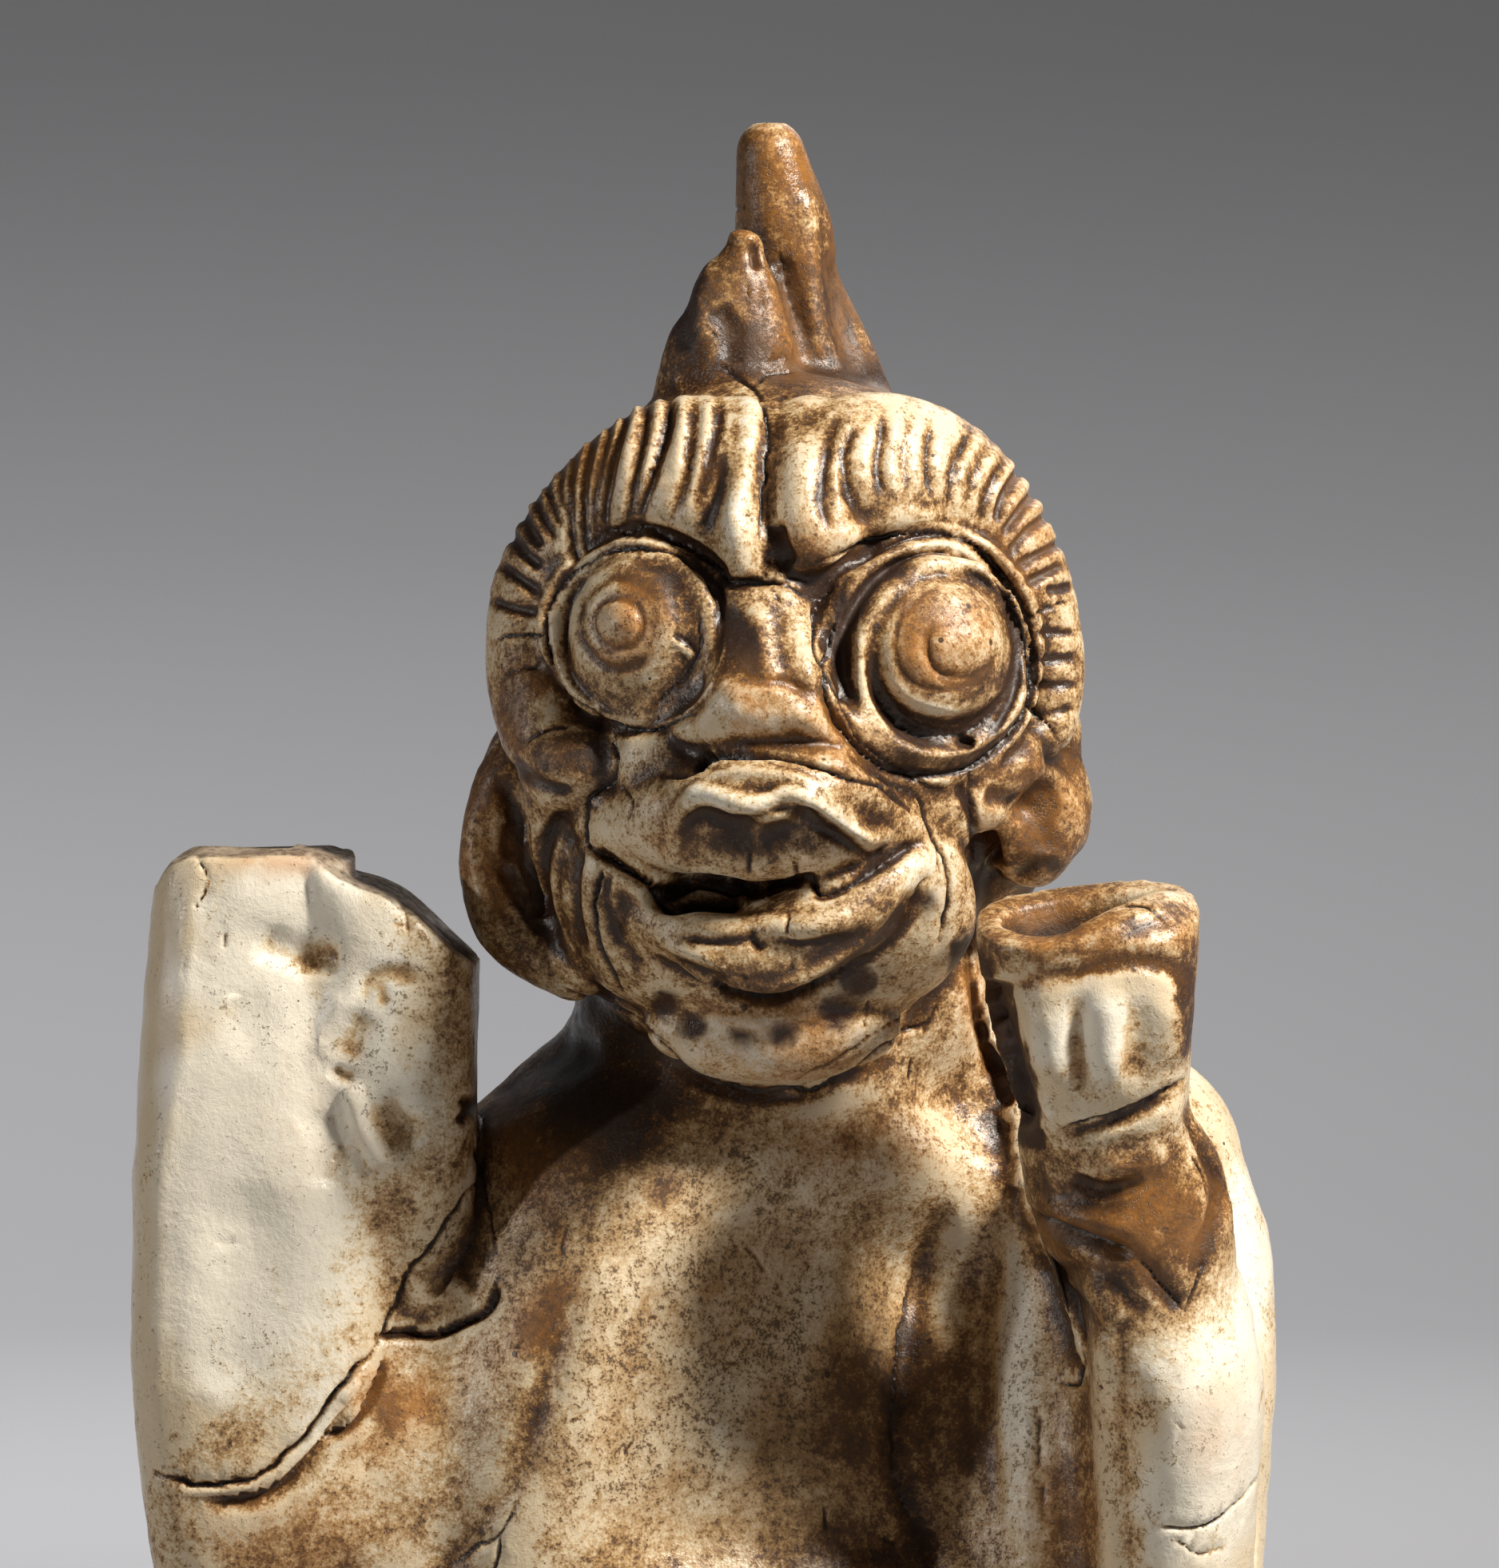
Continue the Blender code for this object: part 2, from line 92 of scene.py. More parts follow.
def roll(rows, facing=front, square=2.0, sides=24):
    # rows are x, y, z, half width, half thickness; square above 2 gives a boxy section
    dome = 5                                                 # rings in each rounded end
    rows = np.array(rows, float)
    length = np.linalg.norm(np.diff(rows[:, :3], axis=0), axis=1).sum()
    spacing = max(0.6, rows[:, 3:].min() * 0.35)
    rows = smoothRows(rows, max(4, int(length / spacing)))
    way = np.gradient(rows[:, :3], axis=0)
    way /= np.linalg.norm(way, axis=1)[:, None]
    angles = [math.radians(90 * k / (dome + 1)) for k in range(1, dome + 1)]
    rings = []
    for angle in angles:
        back = min(rows[0, 3], rows[0, 4]) * math.cos(angle)
        rings.append((rows[0, :3] - way[0] * back, way[0], rows[0, 3:] * math.sin(angle)))
    for row, direction in zip(rows, way):
        rings.append((row[:3], direction, row[3:]))
    for angle in reversed(angles):
        on = min(rows[-1, 3], rows[-1, 4]) * math.cos(angle)
        rings.append((rows[-1, :3] + way[-1] * on, way[-1], rows[-1, 3:] * math.sin(angle)))
    bm = bmesh.new()
    edges = []
    for at, direction, (wide, thick) in rings:
        along = Vector(direction)
        out = Vector(facing(at)) if callable(facing) else Vector(facing)
        out = (out - along * out.dot(along)).normalized()
        matrix = Matrix((along.cross(out) * wide, out * thick, along)).transposed().to_4x4()
        matrix.translation = Vector(at)
        ring = bmesh.ops.create_circle(bm, cap_ends=False, radius=1, segments=sides)["verts"]
        for vert in ring:
            vert.co.x = math.copysign(abs(vert.co.x) ** (2 / square), vert.co.x)
            vert.co.y = math.copysign(abs(vert.co.y) ** (2 / square), vert.co.y)
        bmesh.ops.transform(bm, matrix=matrix, verts=ring)
        loop = list({edge for vert in ring for edge in vert.link_edges})
        if edges:
            bmesh.ops.bridge_loops(bm, edges=edges + loop)
        edges = loop
    bmesh.ops.holes_fill(bm, edges=bm.edges[:], sides=sides)
    bmesh.ops.recalc_face_normals(bm, faces=bm.faces[:])
    return bm


def block(at, size, turn=0, lean=0):
    bm = bmesh.new()
    spin = Matrix.Rotation(math.radians(lean), 4, 'X') @ Matrix.Rotation(math.radians(turn), 4, 'Y')
    matrix = Matrix.Translation(Vector(at)) @ spin @ Matrix.Diagonal((*size, 1))
    bmesh.ops.create_cube(bm, size=1, matrix=matrix)
    return bm


def facePoint(u, w, lift):
    wide, deep, high = clay["faceRadii"]
    left = 1 - (u / wide) ** 2 - ((w + clay["faceDrop"]) / high) ** 2
    return clay["skullAt"] + Vector((u, -deep * math.sqrt(max(0.04, left)) - lift, w))


def faceOut(at):
    wide, deep, high = clay["faceRadii"]
    off = Vector(at) - clay["skullAt"]
    y = min(off.y, -8)
    return Vector((off.x / wide ** 2, y / deep ** 2, (off.z + clay["faceDrop"]) / high ** 2)).normalized()


def faceRoll(rows, square=2.0):
    placed = [(*facePoint(u, w, lift), wide, thick) for u, w, lift, wide, thick in rows]
    return roll(placed, facing=faceOut, square=square)


def faceLump(u, w, lift, radii):
    at = facePoint(u, w, lift)
    return lump(at, radii, faceOut(at).to_track_quat('-Y', 'Z').to_matrix().to_4x4())


def faceRing(u, w, lift, across, up, wide, thick):
    rows = []
    for k in range(17):
        angle = 2 * math.pi * k / 16
        rows.append((u + across * math.cos(angle), w + up * math.sin(angle), lift, wide, thick))
    return faceRoll(rows)


def placeMesh(name, bm):
    mesh = bpy.data.meshes.new(name)
    bm.to_mesh(mesh)
    bm.free()
    obj = bpy.data.objects.new(name, mesh)
    bpy.context.scene.collection.objects.link(obj)
    return obj


def dropObject(obj):
    mesh = obj.data
    bpy.data.objects.remove(obj)
    bpy.data.meshes.remove(mesh)


def makeObject(name, pieces):
    whole = bmesh.new()
    for piece in pieces:
        mesh = bpy.data.meshes.new("piece")
        piece.to_mesh(mesh)
        piece.free()
        whole.from_mesh(mesh)
        bpy.data.meshes.remove(mesh)
    return placeMesh(name, whole)


def join(name, objects):
    whole = bmesh.new()
    for obj in objects:
        whole.from_mesh(obj.data)
        dropObject(obj)
    return placeMesh(name, whole)


def applyModifiers(obj):
    graph = bpy.context.evaluated_depsgraph_get()
    shaped = obj.evaluated_get(graph)
    mesh = bpy.data.meshes.new_from_object(shaped, preserve_all_data_layers=True, depsgraph=graph)
    old = obj.data
    obj.modifiers.clear()
    obj.data = mesh
    bpy.data.meshes.remove(old)


def fuse(obj, grain, smoothing):
    remesh = obj.modifiers.new("fuse", 'REMESH')
    remesh.mode = 'VOXEL'
    remesh.voxel_size = grain
    smooth = obj.modifiers.new("smooth", 'SMOOTH')
    smooth.iterations = smoothing
    smooth.factor = 0.5
    applyModifiers(obj)


def cut(obj, pieces):
    cutter = makeObject("cutter", pieces)
    modifier = obj.modifiers.new("cut", 'BOOLEAN')
    modifier.operation = 'DIFFERENCE'
    modifier.solver = 'EXACT'
    modifier.object = cutter
    applyModifiers(obj)
    dropObject(cutter)


def baseAndLegs():
    slab = bmesh.new()
    depth = clay["baseHeight"] + 6
    size = Matrix.Diagonal((*clay["baseRadii"], 1, 1))
    matrix = Matrix.Translation((0, 0, clay["baseHeight"] - depth / 2)) @ size
    bmesh.ops.create_cone(slab, cap_ends=True, segments=96, radius1=1, radius2=0.95, depth=depth,
                          matrix=matrix)
    pieces = [slab]
    for s in (-1, 1):
        pieces.append(roll([(s * 22, 14, 66, 27, 27), (s * 38, -14, 54, 25, 25), (s * 47, -36, 42, 21, 21)]))
        pieces.append(roll([(s * 50, -36, 30, 17, 14), (s * 47, 0, 27, 17, 14),
                            (s * 38, 34, 27, 14, 12), (s * 32, 50, 28, 13, 9)]))
    pieces.append(lump((0, 24, 56), (44, 32, 36)))
    pieces.append(lump((0, -16, 44), (42, 30, 34)))
    return pieces


def trunkAndNeck():
    return [roll([(0, 6, 62, 44, 37), (0, 0, 88, 47, 37), (0, -3, 116, 52, 38),
                  (1, -3, 146, 53, 36.5), (4, -1, 168, 47, 33)], sides=64),
            roll([(-30, 6, 174, 15, 16), (-12, 6, 184, 20, 18), (6, 6, 190, 22, 22),
                  (28, 6, 187, 20, 18), (59, 8, 181, 16, 16)], sides=40),
            roll([(6, 2, 185, 28, 26), (7, 0, 205, 28, 26), (8, 0, 222, 27, 27)], sides=40),
            lump((0, -12, 92), (42, 31, 32)),
            lump((2, 4, 150), (50, 33, 44)),
            lump((26, -2, 207), (13.5, 18, 19))]


def arms():
    return [roll([(-40, 10, 172, 15, 16), (-56, 8, 152, 17, 17), (-62, 2, 128, 18, 17),
                  (-60, -5, 108, 16, 16)]),
            roll([(-60, -9, 106, 15, 13), (-62.5, -13, 128, 18, 16), (-63.5, -15, 150, 19, 15.5),
                  (-64, -16, 170, 19.3, 15), (-65.5, -16, 190, 17, 14), (-66.3, -15, 207, 14.5, 13),
                  (-65.3, -14, 223, 14, 12.5), (-65.3, -14, 236, 14, 12.5)], square=3.4),
            roll([(58, 9, 181, 14, 16), (64, 8, 168, 15, 17), (65.5, 2, 150, 14, 17),
                  (63, -6, 122, 15, 18)]),
            roll([(60, -14, 108, 15, 15), (62.5, -26, 132, 12.5, 13), (64, -32, 150, 12, 12),
                  (63, -35, 164, 11, 11)]), lump((-44, -3, 132), (26, 26, 46)),
            lump((45, -6, 136), (24, 26, 50))]


def makeBody():
    body = makeObject("body", baseAndLegs() + trunkAndNeck() + arms())
    fuse(body, 2.0, 16)
    cut(body, [block((-70, -10, clay["armBreak"] + 20), (80, 100, 40))])
    return body


def makeWeb():
    web = makeObject("web", [roll([(-54, -11, 156, 12, 10), (-48, -13.5, 174, 13.5, 13),
                                   (-46, -15.5, 190, 12, 14.6), (-46, -15.5, 216, 12, 14.6),
                                   (-48, -15.5, 232, 12, 14.6)], square=3)])
    fuse(web, 1.2, 3)
    cut(web, [block(clay["webBreakAt"], (60, 60, 30), turn=clay["webBreakTilt"])])
    return web


def makeHand():
    wrist = roll([(62, -34, 156, 11, 10), (59, -38, 168, 12.5, 11), (56.5, -40, 180, 14, 12),
                  (53.5, -43, 190, 12.5, 11)])
    fist = roll([(53, -46, 196, 12, 11), (51.5, -48, 204, 13.6, 12.5), (50.3, -49, 214, 15, 13.5),
                 (50, -49, 226, 15.5, 13.5)], square=2.8)
    finger = roll([(40, -57, 213.4, 3, 3), (47, -58.6, 214.8, 3.6, 3.6), (54, -57.4, 217, 4.6, 4.4),
                   (60, -52, 218.6, 4.6, 4.4), (61.6, -45, 218.6, 4, 3.6)])
    hand = makeObject("hand", [wrist, fist])
    fuse(hand, 0.9, 3)
    above = Vector(clay["fistTop"]) + Vector((0, 0, 15))
    cut(hand, [block(above, (60, 60, 30), turn=-4, lean=clay["fistTopTilt"])])
    cut(hand, [roll([(51.8, -47.5, 200, 7, 5), (50.6, -48.5, 211, 10.6, 7.2), (50, -49, 232, 12, 8.8)])])
    hand = join("hand", [hand, makeObject("finger", [finger])])
    fuse(hand, 0.9, 4)
    return hand


def brows():
    return [faceRoll([(-7.5, 30, 0.5, 12, 6.5), (-16, 31, 0.5, 11, 7), (-23, 28.5, 0, 10, 7),
                      (-29.5, 22.5, 0, 9, 6.5), (-34, 13.5, 0, 7.5, 6), (-35.2, 3, 0, 7, 5.5),
                      (-34, -4, 0.5, 6.8, 5), (-31.5, -9.5, 1, 6.4, 5)]),
            faceRoll([(3.5, 29, 0.5, 7, 6.5), (10, 30.5, 1, 11, 7.5), (19, 31, 0.5, 10.5, 7),
                      (27, 26.5, 0, 9.5, 6.5), (33, 18, 0, 8, 6), (36, 9, 0, 6.5, 5.5), (37, 1, 0, 6, 5),
                      (36.3, -5, 0, 4.5, 4.5)]),
            faceRoll([(-6.8, 37, -1, 3, 5), (-6, 30, 1.2, 3.4, 6), (-5.8, 22, 2.2, 3.4, 6),
                      (-5.8, 18, 2, 3.2, 5)]),
            faceRoll([(3.4, 35, -0.5, 6.5, 6), (3.6, 28, 1.5, 6.8, 7), (3.8, 22, 2, 6.6, 6.5)]),
            faceLump(-29.5, -10.5, 1.5, (8, 6, 6.5))]


def cheeks():
    return [faceRoll([(32, -9, 0, 5, 4), (25, -15, -1, 6, 4.5), (13, -15, -1, 5, 4)]),
            faceRoll([(-31, -14, -1, 6, 5), (-31, -24, -1, 6, 5), (-26, -36, -1, 6, 5)]),
            faceLump(-2, -29, -8, (29, 13, 22)),
            faceLump(-4, -10, -1, (20, 7, 12))]


def ears():
    x, y, z = clay["skullAt"]
    return [lump((x - 35, y + 4, z - 21), (9, 13, 18)),
            roll([(x - 33, y - 2, z - 7, 4.5, 4.5), (x - 38.5, y - 4, z - 14, 5, 5),
                  (x - 40.5, y - 5, z - 25, 5.2, 5), (x - 37.5, y - 8, z - 34, 5.5, 5),
                  (x - 29, y - 11, z - 39, 5.5, 5)]), lump((x + 34.2, y - 2, z - 16.5), (9.2, 12, 11)),
            roll([(x + 27, y - 16, z - 10, 5, 5), (x + 33, y - 10, z - 11, 6, 6),
                  (x + 36, y - 2, z - 14, 6, 7)]), lump((x + 29.5, y - 7, z - 9), (7.5, 9, 10)),
            lump((x + 38, y - 1, z - 8), (4, 9, 8)), lump((x + 29, y + 4, z - 22), (8, 10, 12)),
            lump((x + 32.5, y - 3, z - 16), (7.5, 9, 10.5)), lump((x + 30.5, y - 9, z - 13), (6.5, 8, 13)),
            lump((x + 35, y - 7, z - 19), (6.5, 7, 9)), lump((x + 27.5, y - 9.5, z - 15), (6, 9, 7))]


def horns():
    x, y, z = clay["skullAt"]
    return [roll([(x - 8.3, y + 1, z + 36, 11, 9), (x - 8, y + 2, z + 43, 9.8, 7.5),
                  (x - 7.2, y + 2, z + 50, 8.7, 6.5), (x - 6.1, y + 2, z + 57, 6, 5),
                  (x - 5.4, y + 2, z + 61.5, 3.1, 3.3)], square=2.2),
            roll([(x + 5, y + 18, z + 32, 15, 14), (x + 4, y + 17, z + 42, 11.5, 12),
                  (x + 2.2, y + 16, z + 50, 9.2, 10.5), (x + 1, y + 15.5, z + 57, 8, 9.5),
                  (x - 0.4, y + 14, z + 66, 6.9, 8), (x - 1.8, y + 13, z + 74.8, 4.9, 6)])]


def skull():
    x, y, z = clay["skullAt"]
    return [lump((x, y + 10, z + 5), (37, 40, 40)), lump((x, y + 1, z + 6), (39.5, 37, 38)),
            lump((x - 3, y + 1, z - 20), (31.5, 36, 37)), lump((x - 7, y + 6, z - 24), (31, 30, 25))]


def eyes():
    return [faceRing(-20.3, 8.2, 0.8, 10.7, 11.2, 1.7, 3.6),
            faceLump(-20.2, 8.5, 0.4, (10.2, 6, 11.2)),
            faceRing(-21.7, 9.9, 4.9, 5.4, 6.2, 0.9, 1.4),
            faceLump(-21.7, 10.4, 5.6, (3.9, 2.2, 4.4)),
            faceRing(19.4, 4.7, 0.2, 13.6, 15.8, 1.8, 4.2),
            faceRing(20.4, 4.4, 2, 11, 12.4, 1.7, 4.4),
            faceLump(20, 5.8, 1.5, (10.4, 8.2, 10.6)), faceLump(20.2, 4.8, -1.2, (12, 8, 12.8)),
            faceLump(24.3, 7.1, 8.6, (4.3, 2.4, 4.3))]


def nose():
    return [faceRoll([(-2.6, 18, -1, 6, 4), (-2.6, 12, 0, 6, 4.6), (-2.6, 6, 2, 7.4, 5.4),
                      (-2.4, 1, 4.2, 9.6, 6), (-2, -3, 4.8, 11, 5.4)], square=2.5),
            faceRoll([(-22, -8, -1, 4, 3.5), (-14.5, -5.5, 1, 4.5, 5), (-8, -3, 3.6, 4.6, 5.5),
                      (-2.2, -2.3, 5.2, 4.8, 5.5), (5, -4.2, 3.4, 4.8, 5), (11, -8.6, 1.8, 4, 4.5),
                      (18, -14.5, 0, 3, 3)]),
            faceRoll([(-8.4, 6, 0, 3, 3), (-9.6, -1, 2, 4, 4), (-14, -5, 1.6, 4.2, 4),
                      (-20, -7, 0, 3.4, 3.4)])]


def mouth():
    return [faceRoll([(-24.5, -18, -1, 4.5, 4.5), (-15.5, -17, 3.4, 7.4, 6), (-2.5, -16, 6, 9.4, 7),
                      (8.5, -16.5, 4, 7.6, 6), (17.5, -18, -0.5, 3.8, 4)]),
            faceRoll([(-14.2, -21, 7, 2, 3.4), (-13.6, -16.4, 9, 2.2, 3.4), (-10.6, -13.6, 10.6, 2.5, 3.4),
                      (-5.6, -14.2, 12.2, 2.5, 3.4), (-1.7, -15.2, 12.6, 2.3, 3.4),
                      (2.8, -13.2, 12, 2.5, 3.4), (6.7, -14.8, 10.5, 2.4, 3.4), (10, -18, 8.4, 2.1, 3.2),
                      (12.6, -18.5, 6.5, 2, 3)]),
            faceRoll([(-22.5, -25, 0, 3.4, 4), (-15, -32, 4.6, 4.6, 5.5), (-8.5, -34.8, 7.2, 5, 6),
                      (-1.8, -35.6, 8.4, 5.2, 6.5), (5, -34.4, 7.2, 5, 6), (12, -29.8, 4.8, 4.8, 5),
                      (18, -23, 0.5, 3.8, 4)]),
            faceRoll([(-3, -31.6, 5, 3.4, 6), (3, -30.6, 6, 4.6, 7.5), (8, -28.4, 5.6, 4.8, 7.5),
                      (13, -25.2, 3.6, 4.6, 6.5), (17.5, -22, 1, 3, 5)]),
            faceRoll([(-13, -12.8, 6.6, 3, 4), (-7, -11, 9, 4, 4.4), (0, -10.4, 9.6, 4.2, 4.4),
                      (6, -11.2, 9, 4, 4.4), (12, -14, 6.2, 3.2, 4)]),
            faceRoll([(-24, -22.6, 0, 2.6, 4), (-20, -24.6, 3, 3, 4.5), (-17.6, -26.6, 4.4, 2.6, 4)]),
            faceLump(-1.5, -46.5, 0, (18, 9, 8.5))]


def makeHead():
    head = makeObject("skull", skull() + brows() + cheeks() + ears() + horns())
    fuse(head, 0.9, 3)
    gap = faceRoll([(-22, -22, 3, 1.6, 6), (-14, -26, 6, 2.6, 10), (-3, -28.5, 7, 3.2, 12),
                    (7, -26.5, 6, 2.4, 10), (16, -21.5, 3, 1.2, 6)])
    sockets = [faceLump(-20.2, 8.4, 1.5, (10.2, 5, 10.8)), faceLump(19.6, 4.8, 2.5, (13, 7.5, 15.2))]
    cut(head, sockets + [gap])
    features = makeObject("features", eyes() + nose() + mouth())
    head = join("head", [head, features])
    fuse(head, 0.7, 2)
    return head


def randomField(points, size, seed):
    # a smooth field from -1 to 1 whose lumps are about size across
    table = np.random.default_rng(seed).random((32, 32, 32)) * 2 - 1
    place = points / size
    cell = np.floor(place).astype(int)
    t = place - cell
    t = t * t * (3 - 2 * t)
    total = np.zeros(len(points))
    for corner in range(8):
        step = (corner & 1, corner >> 1 & 1, corner >> 2)
        weight = np.ones(len(points))
        for axis in range(3):
            weight *= t[:, axis] if step[axis] else 1 - t[:, axis]
        i, j, k = ((cell[:, axis] + step[axis]) % 32 for axis in range(3))
        total += weight * table[i, j, k]
    return total


def bell(x):
    x = np.clip(np.abs(x), 0, 1)
    return (1 - x * x) ** 2


def curve(points, step=0.8):
    rows = np.array(points, float)
    length = np.linalg.norm(np.diff(rows, axis=0), axis=1).sum()
    if len(rows) == 2:
        return np.linspace(rows[0], rows[1], max(2, int(length / step)))
    return smoothRows(rows, max(len(rows), int(length / step)))


def ellipse(x, z, across, up, start=0, end=360):
    count = max(6, int((across + up) * math.radians(abs(end - start)) / 1.6))
    angles = np.radians(np.linspace(start, end, count))
    far = 1 + 0.028 * np.sin(2 * angles + x + up) + 0.022 * np.sin(3 * angles + across * 2)
    far += 0.012 * np.sin(7 * angles + z)                    # no hand draws a true ellipse
    return np.stack([x + across * far * np.cos(angles), z + up * far * np.sin(angles)], 1)


def neighbourSum(value, a, b, count):
    # for each point, the sum of a value over the points that edges join to it
    return np.bincount(a, value[b], count) + np.bincount(b, value[a], count)


def neighbourCount(a, b, count):
    return np.maximum(np.bincount(a, minlength=count) + np.bincount(b, minlength=count), 1)


class Skin:
    # the figurine's vertices, with the tools that mark them; routes are x, z seen from the front
    channels = ("tone", "stain", "crack", "ochre", "umber", "bare", "white", "wet", "dirt", "dot")

    def __init__(self, obj):
        self.obj = obj
        self.count = len(obj.data.vertices)
        self.at = np.empty(self.count * 3, np.float32)
        obj.data.vertices.foreach_get("co", self.at)
        self.at = self.at.reshape(-1, 3).astype(float)
        ends = np.empty(len(obj.data.edges) * 2, np.int32)
        obj.data.edges.foreach_get("vertices", ends)
        self.a, self.b = ends.reshape(-1, 2).T
        self.links = neighbourCount(self.a, self.b, self.count)
        self.paint = {name: np.zeros(self.count) for name in self.channels}
        self.update()

    def spread(self, values, rounds):
        # even out values over the surface
        values = values.copy()
        for _ in range(rounds):
            for axis in range(values.shape[1]):
                total = neighbourSum(values[:, axis], self.a, self.b, self.count)
                values[:, axis] = 0.3 * values[:, axis] + 0.7 * total / self.links
        return values

    def update(self):
        self.obj.data.vertices.foreach_set("co", self.at.astype(np.float32).ravel())
        self.obj.data.update()
        out = np.empty(self.count * 3, np.float32)
        self.obj.data.vertex_normals.foreach_get("vector", out)
        self.out = self.spread(out.reshape(-1, 3).astype(float), 3)
        self.out /= np.maximum(np.linalg.norm(self.out, axis=1), 1e-6)[:, None]
        cell = 1.45 * clay["grain"]
        i = ((self.at[:, 0] + 100) / cell).astype(int)
        k = ((self.at[:, 2] + 20) / cell).astype(int)
        nearest = np.full((i.max() + 1, k.max() + 1), 1e9)
        np.minimum.at(nearest, (i, k), self.at[:, 1])
        self.seen = (self.at[:, 1] < nearest[i, k] + 7) & (self.out[:, 1] < 0.3)
        self.facing = np.clip((0.3 - self.out[:, 1]) / 0.5, 0, 1)
        self.view = self.spread(self.seen.astype(float)[:, None], 4)[:, 0]

    def near(self, route, reach):
        route = np.asarray(route, float)
        flat = self.at[:, [0, 2]]
        inside = (flat > route.min(0) - reach).all(1) & (flat < route.max(0) + reach).all(1)
        index = np.nonzero(inside & (self.view > 0.04))[0]
        points = flat[index]
        best = np.full(len(index), 1e9)
        along = np.zeros(len(index))
        side = np.zeros(len(index))
        foot = np.zeros((len(index), 2))
        walked = 0.0
        for a, b in zip(route[:-1], route[1:]):
            way = b - a
            length = math.hypot(*way)
            if length < 1e-6:
                continue
            box = ((points > np.minimum(a, b) - reach) & (points < np.maximum(a, b) + reach)).all(1)
            pick = np.nonzero(box)[0]
            t = np.clip((points[pick] - a) @ way / length ** 2, 0, 1)
            on = a + t[:, None] * way
            off = points[pick] - on
            away = np.hypot(off[:, 0], off[:, 1])
            better = away < best[pick]
            chosen = pick[better]
            best[chosen] = away[better]
            along[chosen] = walked + t[better] * length
            side[chosen] = np.sign(way[0] * off[better, 1] - way[1] * off[better, 0])
            foot[chosen] = on[better]
            walked += length
        keep = best < reach
        return index[keep], best[keep], along[keep], side[keep], foot[keep], walked

    def press(self, points, width, depth, fade=0.2, paint=None, amount=0.7, side=0, front=False):
        # a pressed line, or a raised one where depth is below zero
        # side 1 or -1 keeps to the line's left or right
        index, away, along, sides, _, length = self.near(curve(points), width)
        if not len(index):
            return
        weight = bell(away / width) * self.view[index]
        if side:
            weight *= sides == side
        if fade:
            t = along / max(length, 1e-6)
            t = np.clip(np.minimum(t, 1 - t) / fade, 0, 1)
            weight *= 0.15 + 0.85 * t * t * (3 - 2 * t)
        way = np.array((0, -1, 0)) if front else self.out[index]
        self.at[index] -= way * (weight * depth)[:, None]
        if paint:
            self.mark(paint, index, weight * amount)

    def ring(self, x, z, across, up, start, end, width, depth, fade, paint=None, amount=0.7):
        # an ellipse, or a stretch of one in degrees, pressed straight back
        self.press(ellipse(x, z, across, up, start, end), width, depth, fade, paint, amount, front=True)

    def mark(self, name, index, value):
        self.paint[name][index] = np.maximum(self.paint[name][index], value)

    def split(self, points, width=0.45, depth=0.9, wander=0.25, seed=1, amount=1.0, halo=0.3):
        # a drying crack: a jagged line pinched shut and sunk
        route = curve(points, 0.7)
        flat = np.column_stack([route[:, 0], np.full(len(route), seed * 7.3), route[:, 1]])
        jags = [randomField(flat, 1.6, seed), randomField(flat, 1.6, seed + 50)]
        route = route + wander * np.stack(jags, 1)
        reach = width * 2.6
        index, away, along, _, foot, length = self.near(route, reach)
        if not len(index):
            return
        view = self.view[index]
        pinch = np.clip(1 - away / (width * 1.4), 0, 1) * 0.5 * view
        flat = self.at[np.ix_(index, [0, 2])]
        moved = flat + (foot - flat) * pinch[:, None]
        self.at[index, 0] = moved[:, 0]
        self.at[index, 2] = moved[:, 1]
        t = along / max(length, 1e-6)
        ends = np.clip(np.minimum(t, 1 - t) / 0.12, 0.25, 1) * view
        grow = 0.75 + 0.25 * randomField(np.column_stack([foot, np.full(len(index), 3.0)]), 4, seed + 9)
        self.at[index] -= self.out[index] * (bell(away / width) * depth * ends * grow)[:, None]
        self.mark("crack", index, bell(away / (width * 1.3)) * ends * grow * amount)
        self.mark("stain", index, bell(away / reach) * ends * halo)

    def wash(self, name, x, z, across, up, amount, turn=0):
        # a patch of colour, softened at its edge and broken by a random field
        dx = self.at[:, 0] - x
        dz = self.at[:, 2] - z
        if turn:
            c, s = math.cos(math.radians(turn)), math.sin(math.radians(turn))
            dx, dz = c * dx + s * dz, c * dz - s * dx
        far = np.hypot(dx / across, dz / up)
        index = np.nonzero((far < 1.35) & (self.view > 0.04))[0]
        flecks = randomField(self.at[index], 0.4 * min(across, up) + 0.6, int(x * 3 + z) % 97)
        ragged = far[index] + 0.25 * flecks
        value = np.clip((1 - ragged) / 0.6, 0, 1) * self.facing[index] * self.view[index]
        self.mark(name, index, value * amount)

    def soften(self, x, z, across, up, rounds):
        # rub an area smooth
        far = np.hypot((self.at[:, 0] - x) / across, (self.at[:, 2] - z) / up)
        weight = np.where(far < 1, bell(far) ** 0.5 * self.facing * self.view, 0)
        chosen = np.nonzero(far < 1.2)[0]
        place = np.full(self.count, -1)
        place[chosen] = np.arange(len(chosen))
        a, b = place[self.a], place[self.b]
        both = (a >= 0) & (b >= 0)
        a, b = a[both], b[both]
        links = neighbourCount(a, b, len(chosen))[:, None]
        at = self.at[chosen]
        strength = (weight[chosen] * 0.7)[:, None]
        for _ in range(rounds):
            sums = [neighbourSum(at[:, axis], a, b, len(chosen)) for axis in range(3)]
            at += (np.stack(sums, 1) / links - at) * strength
        self.at[chosen] = at

    def level(self, x, z, across, up):
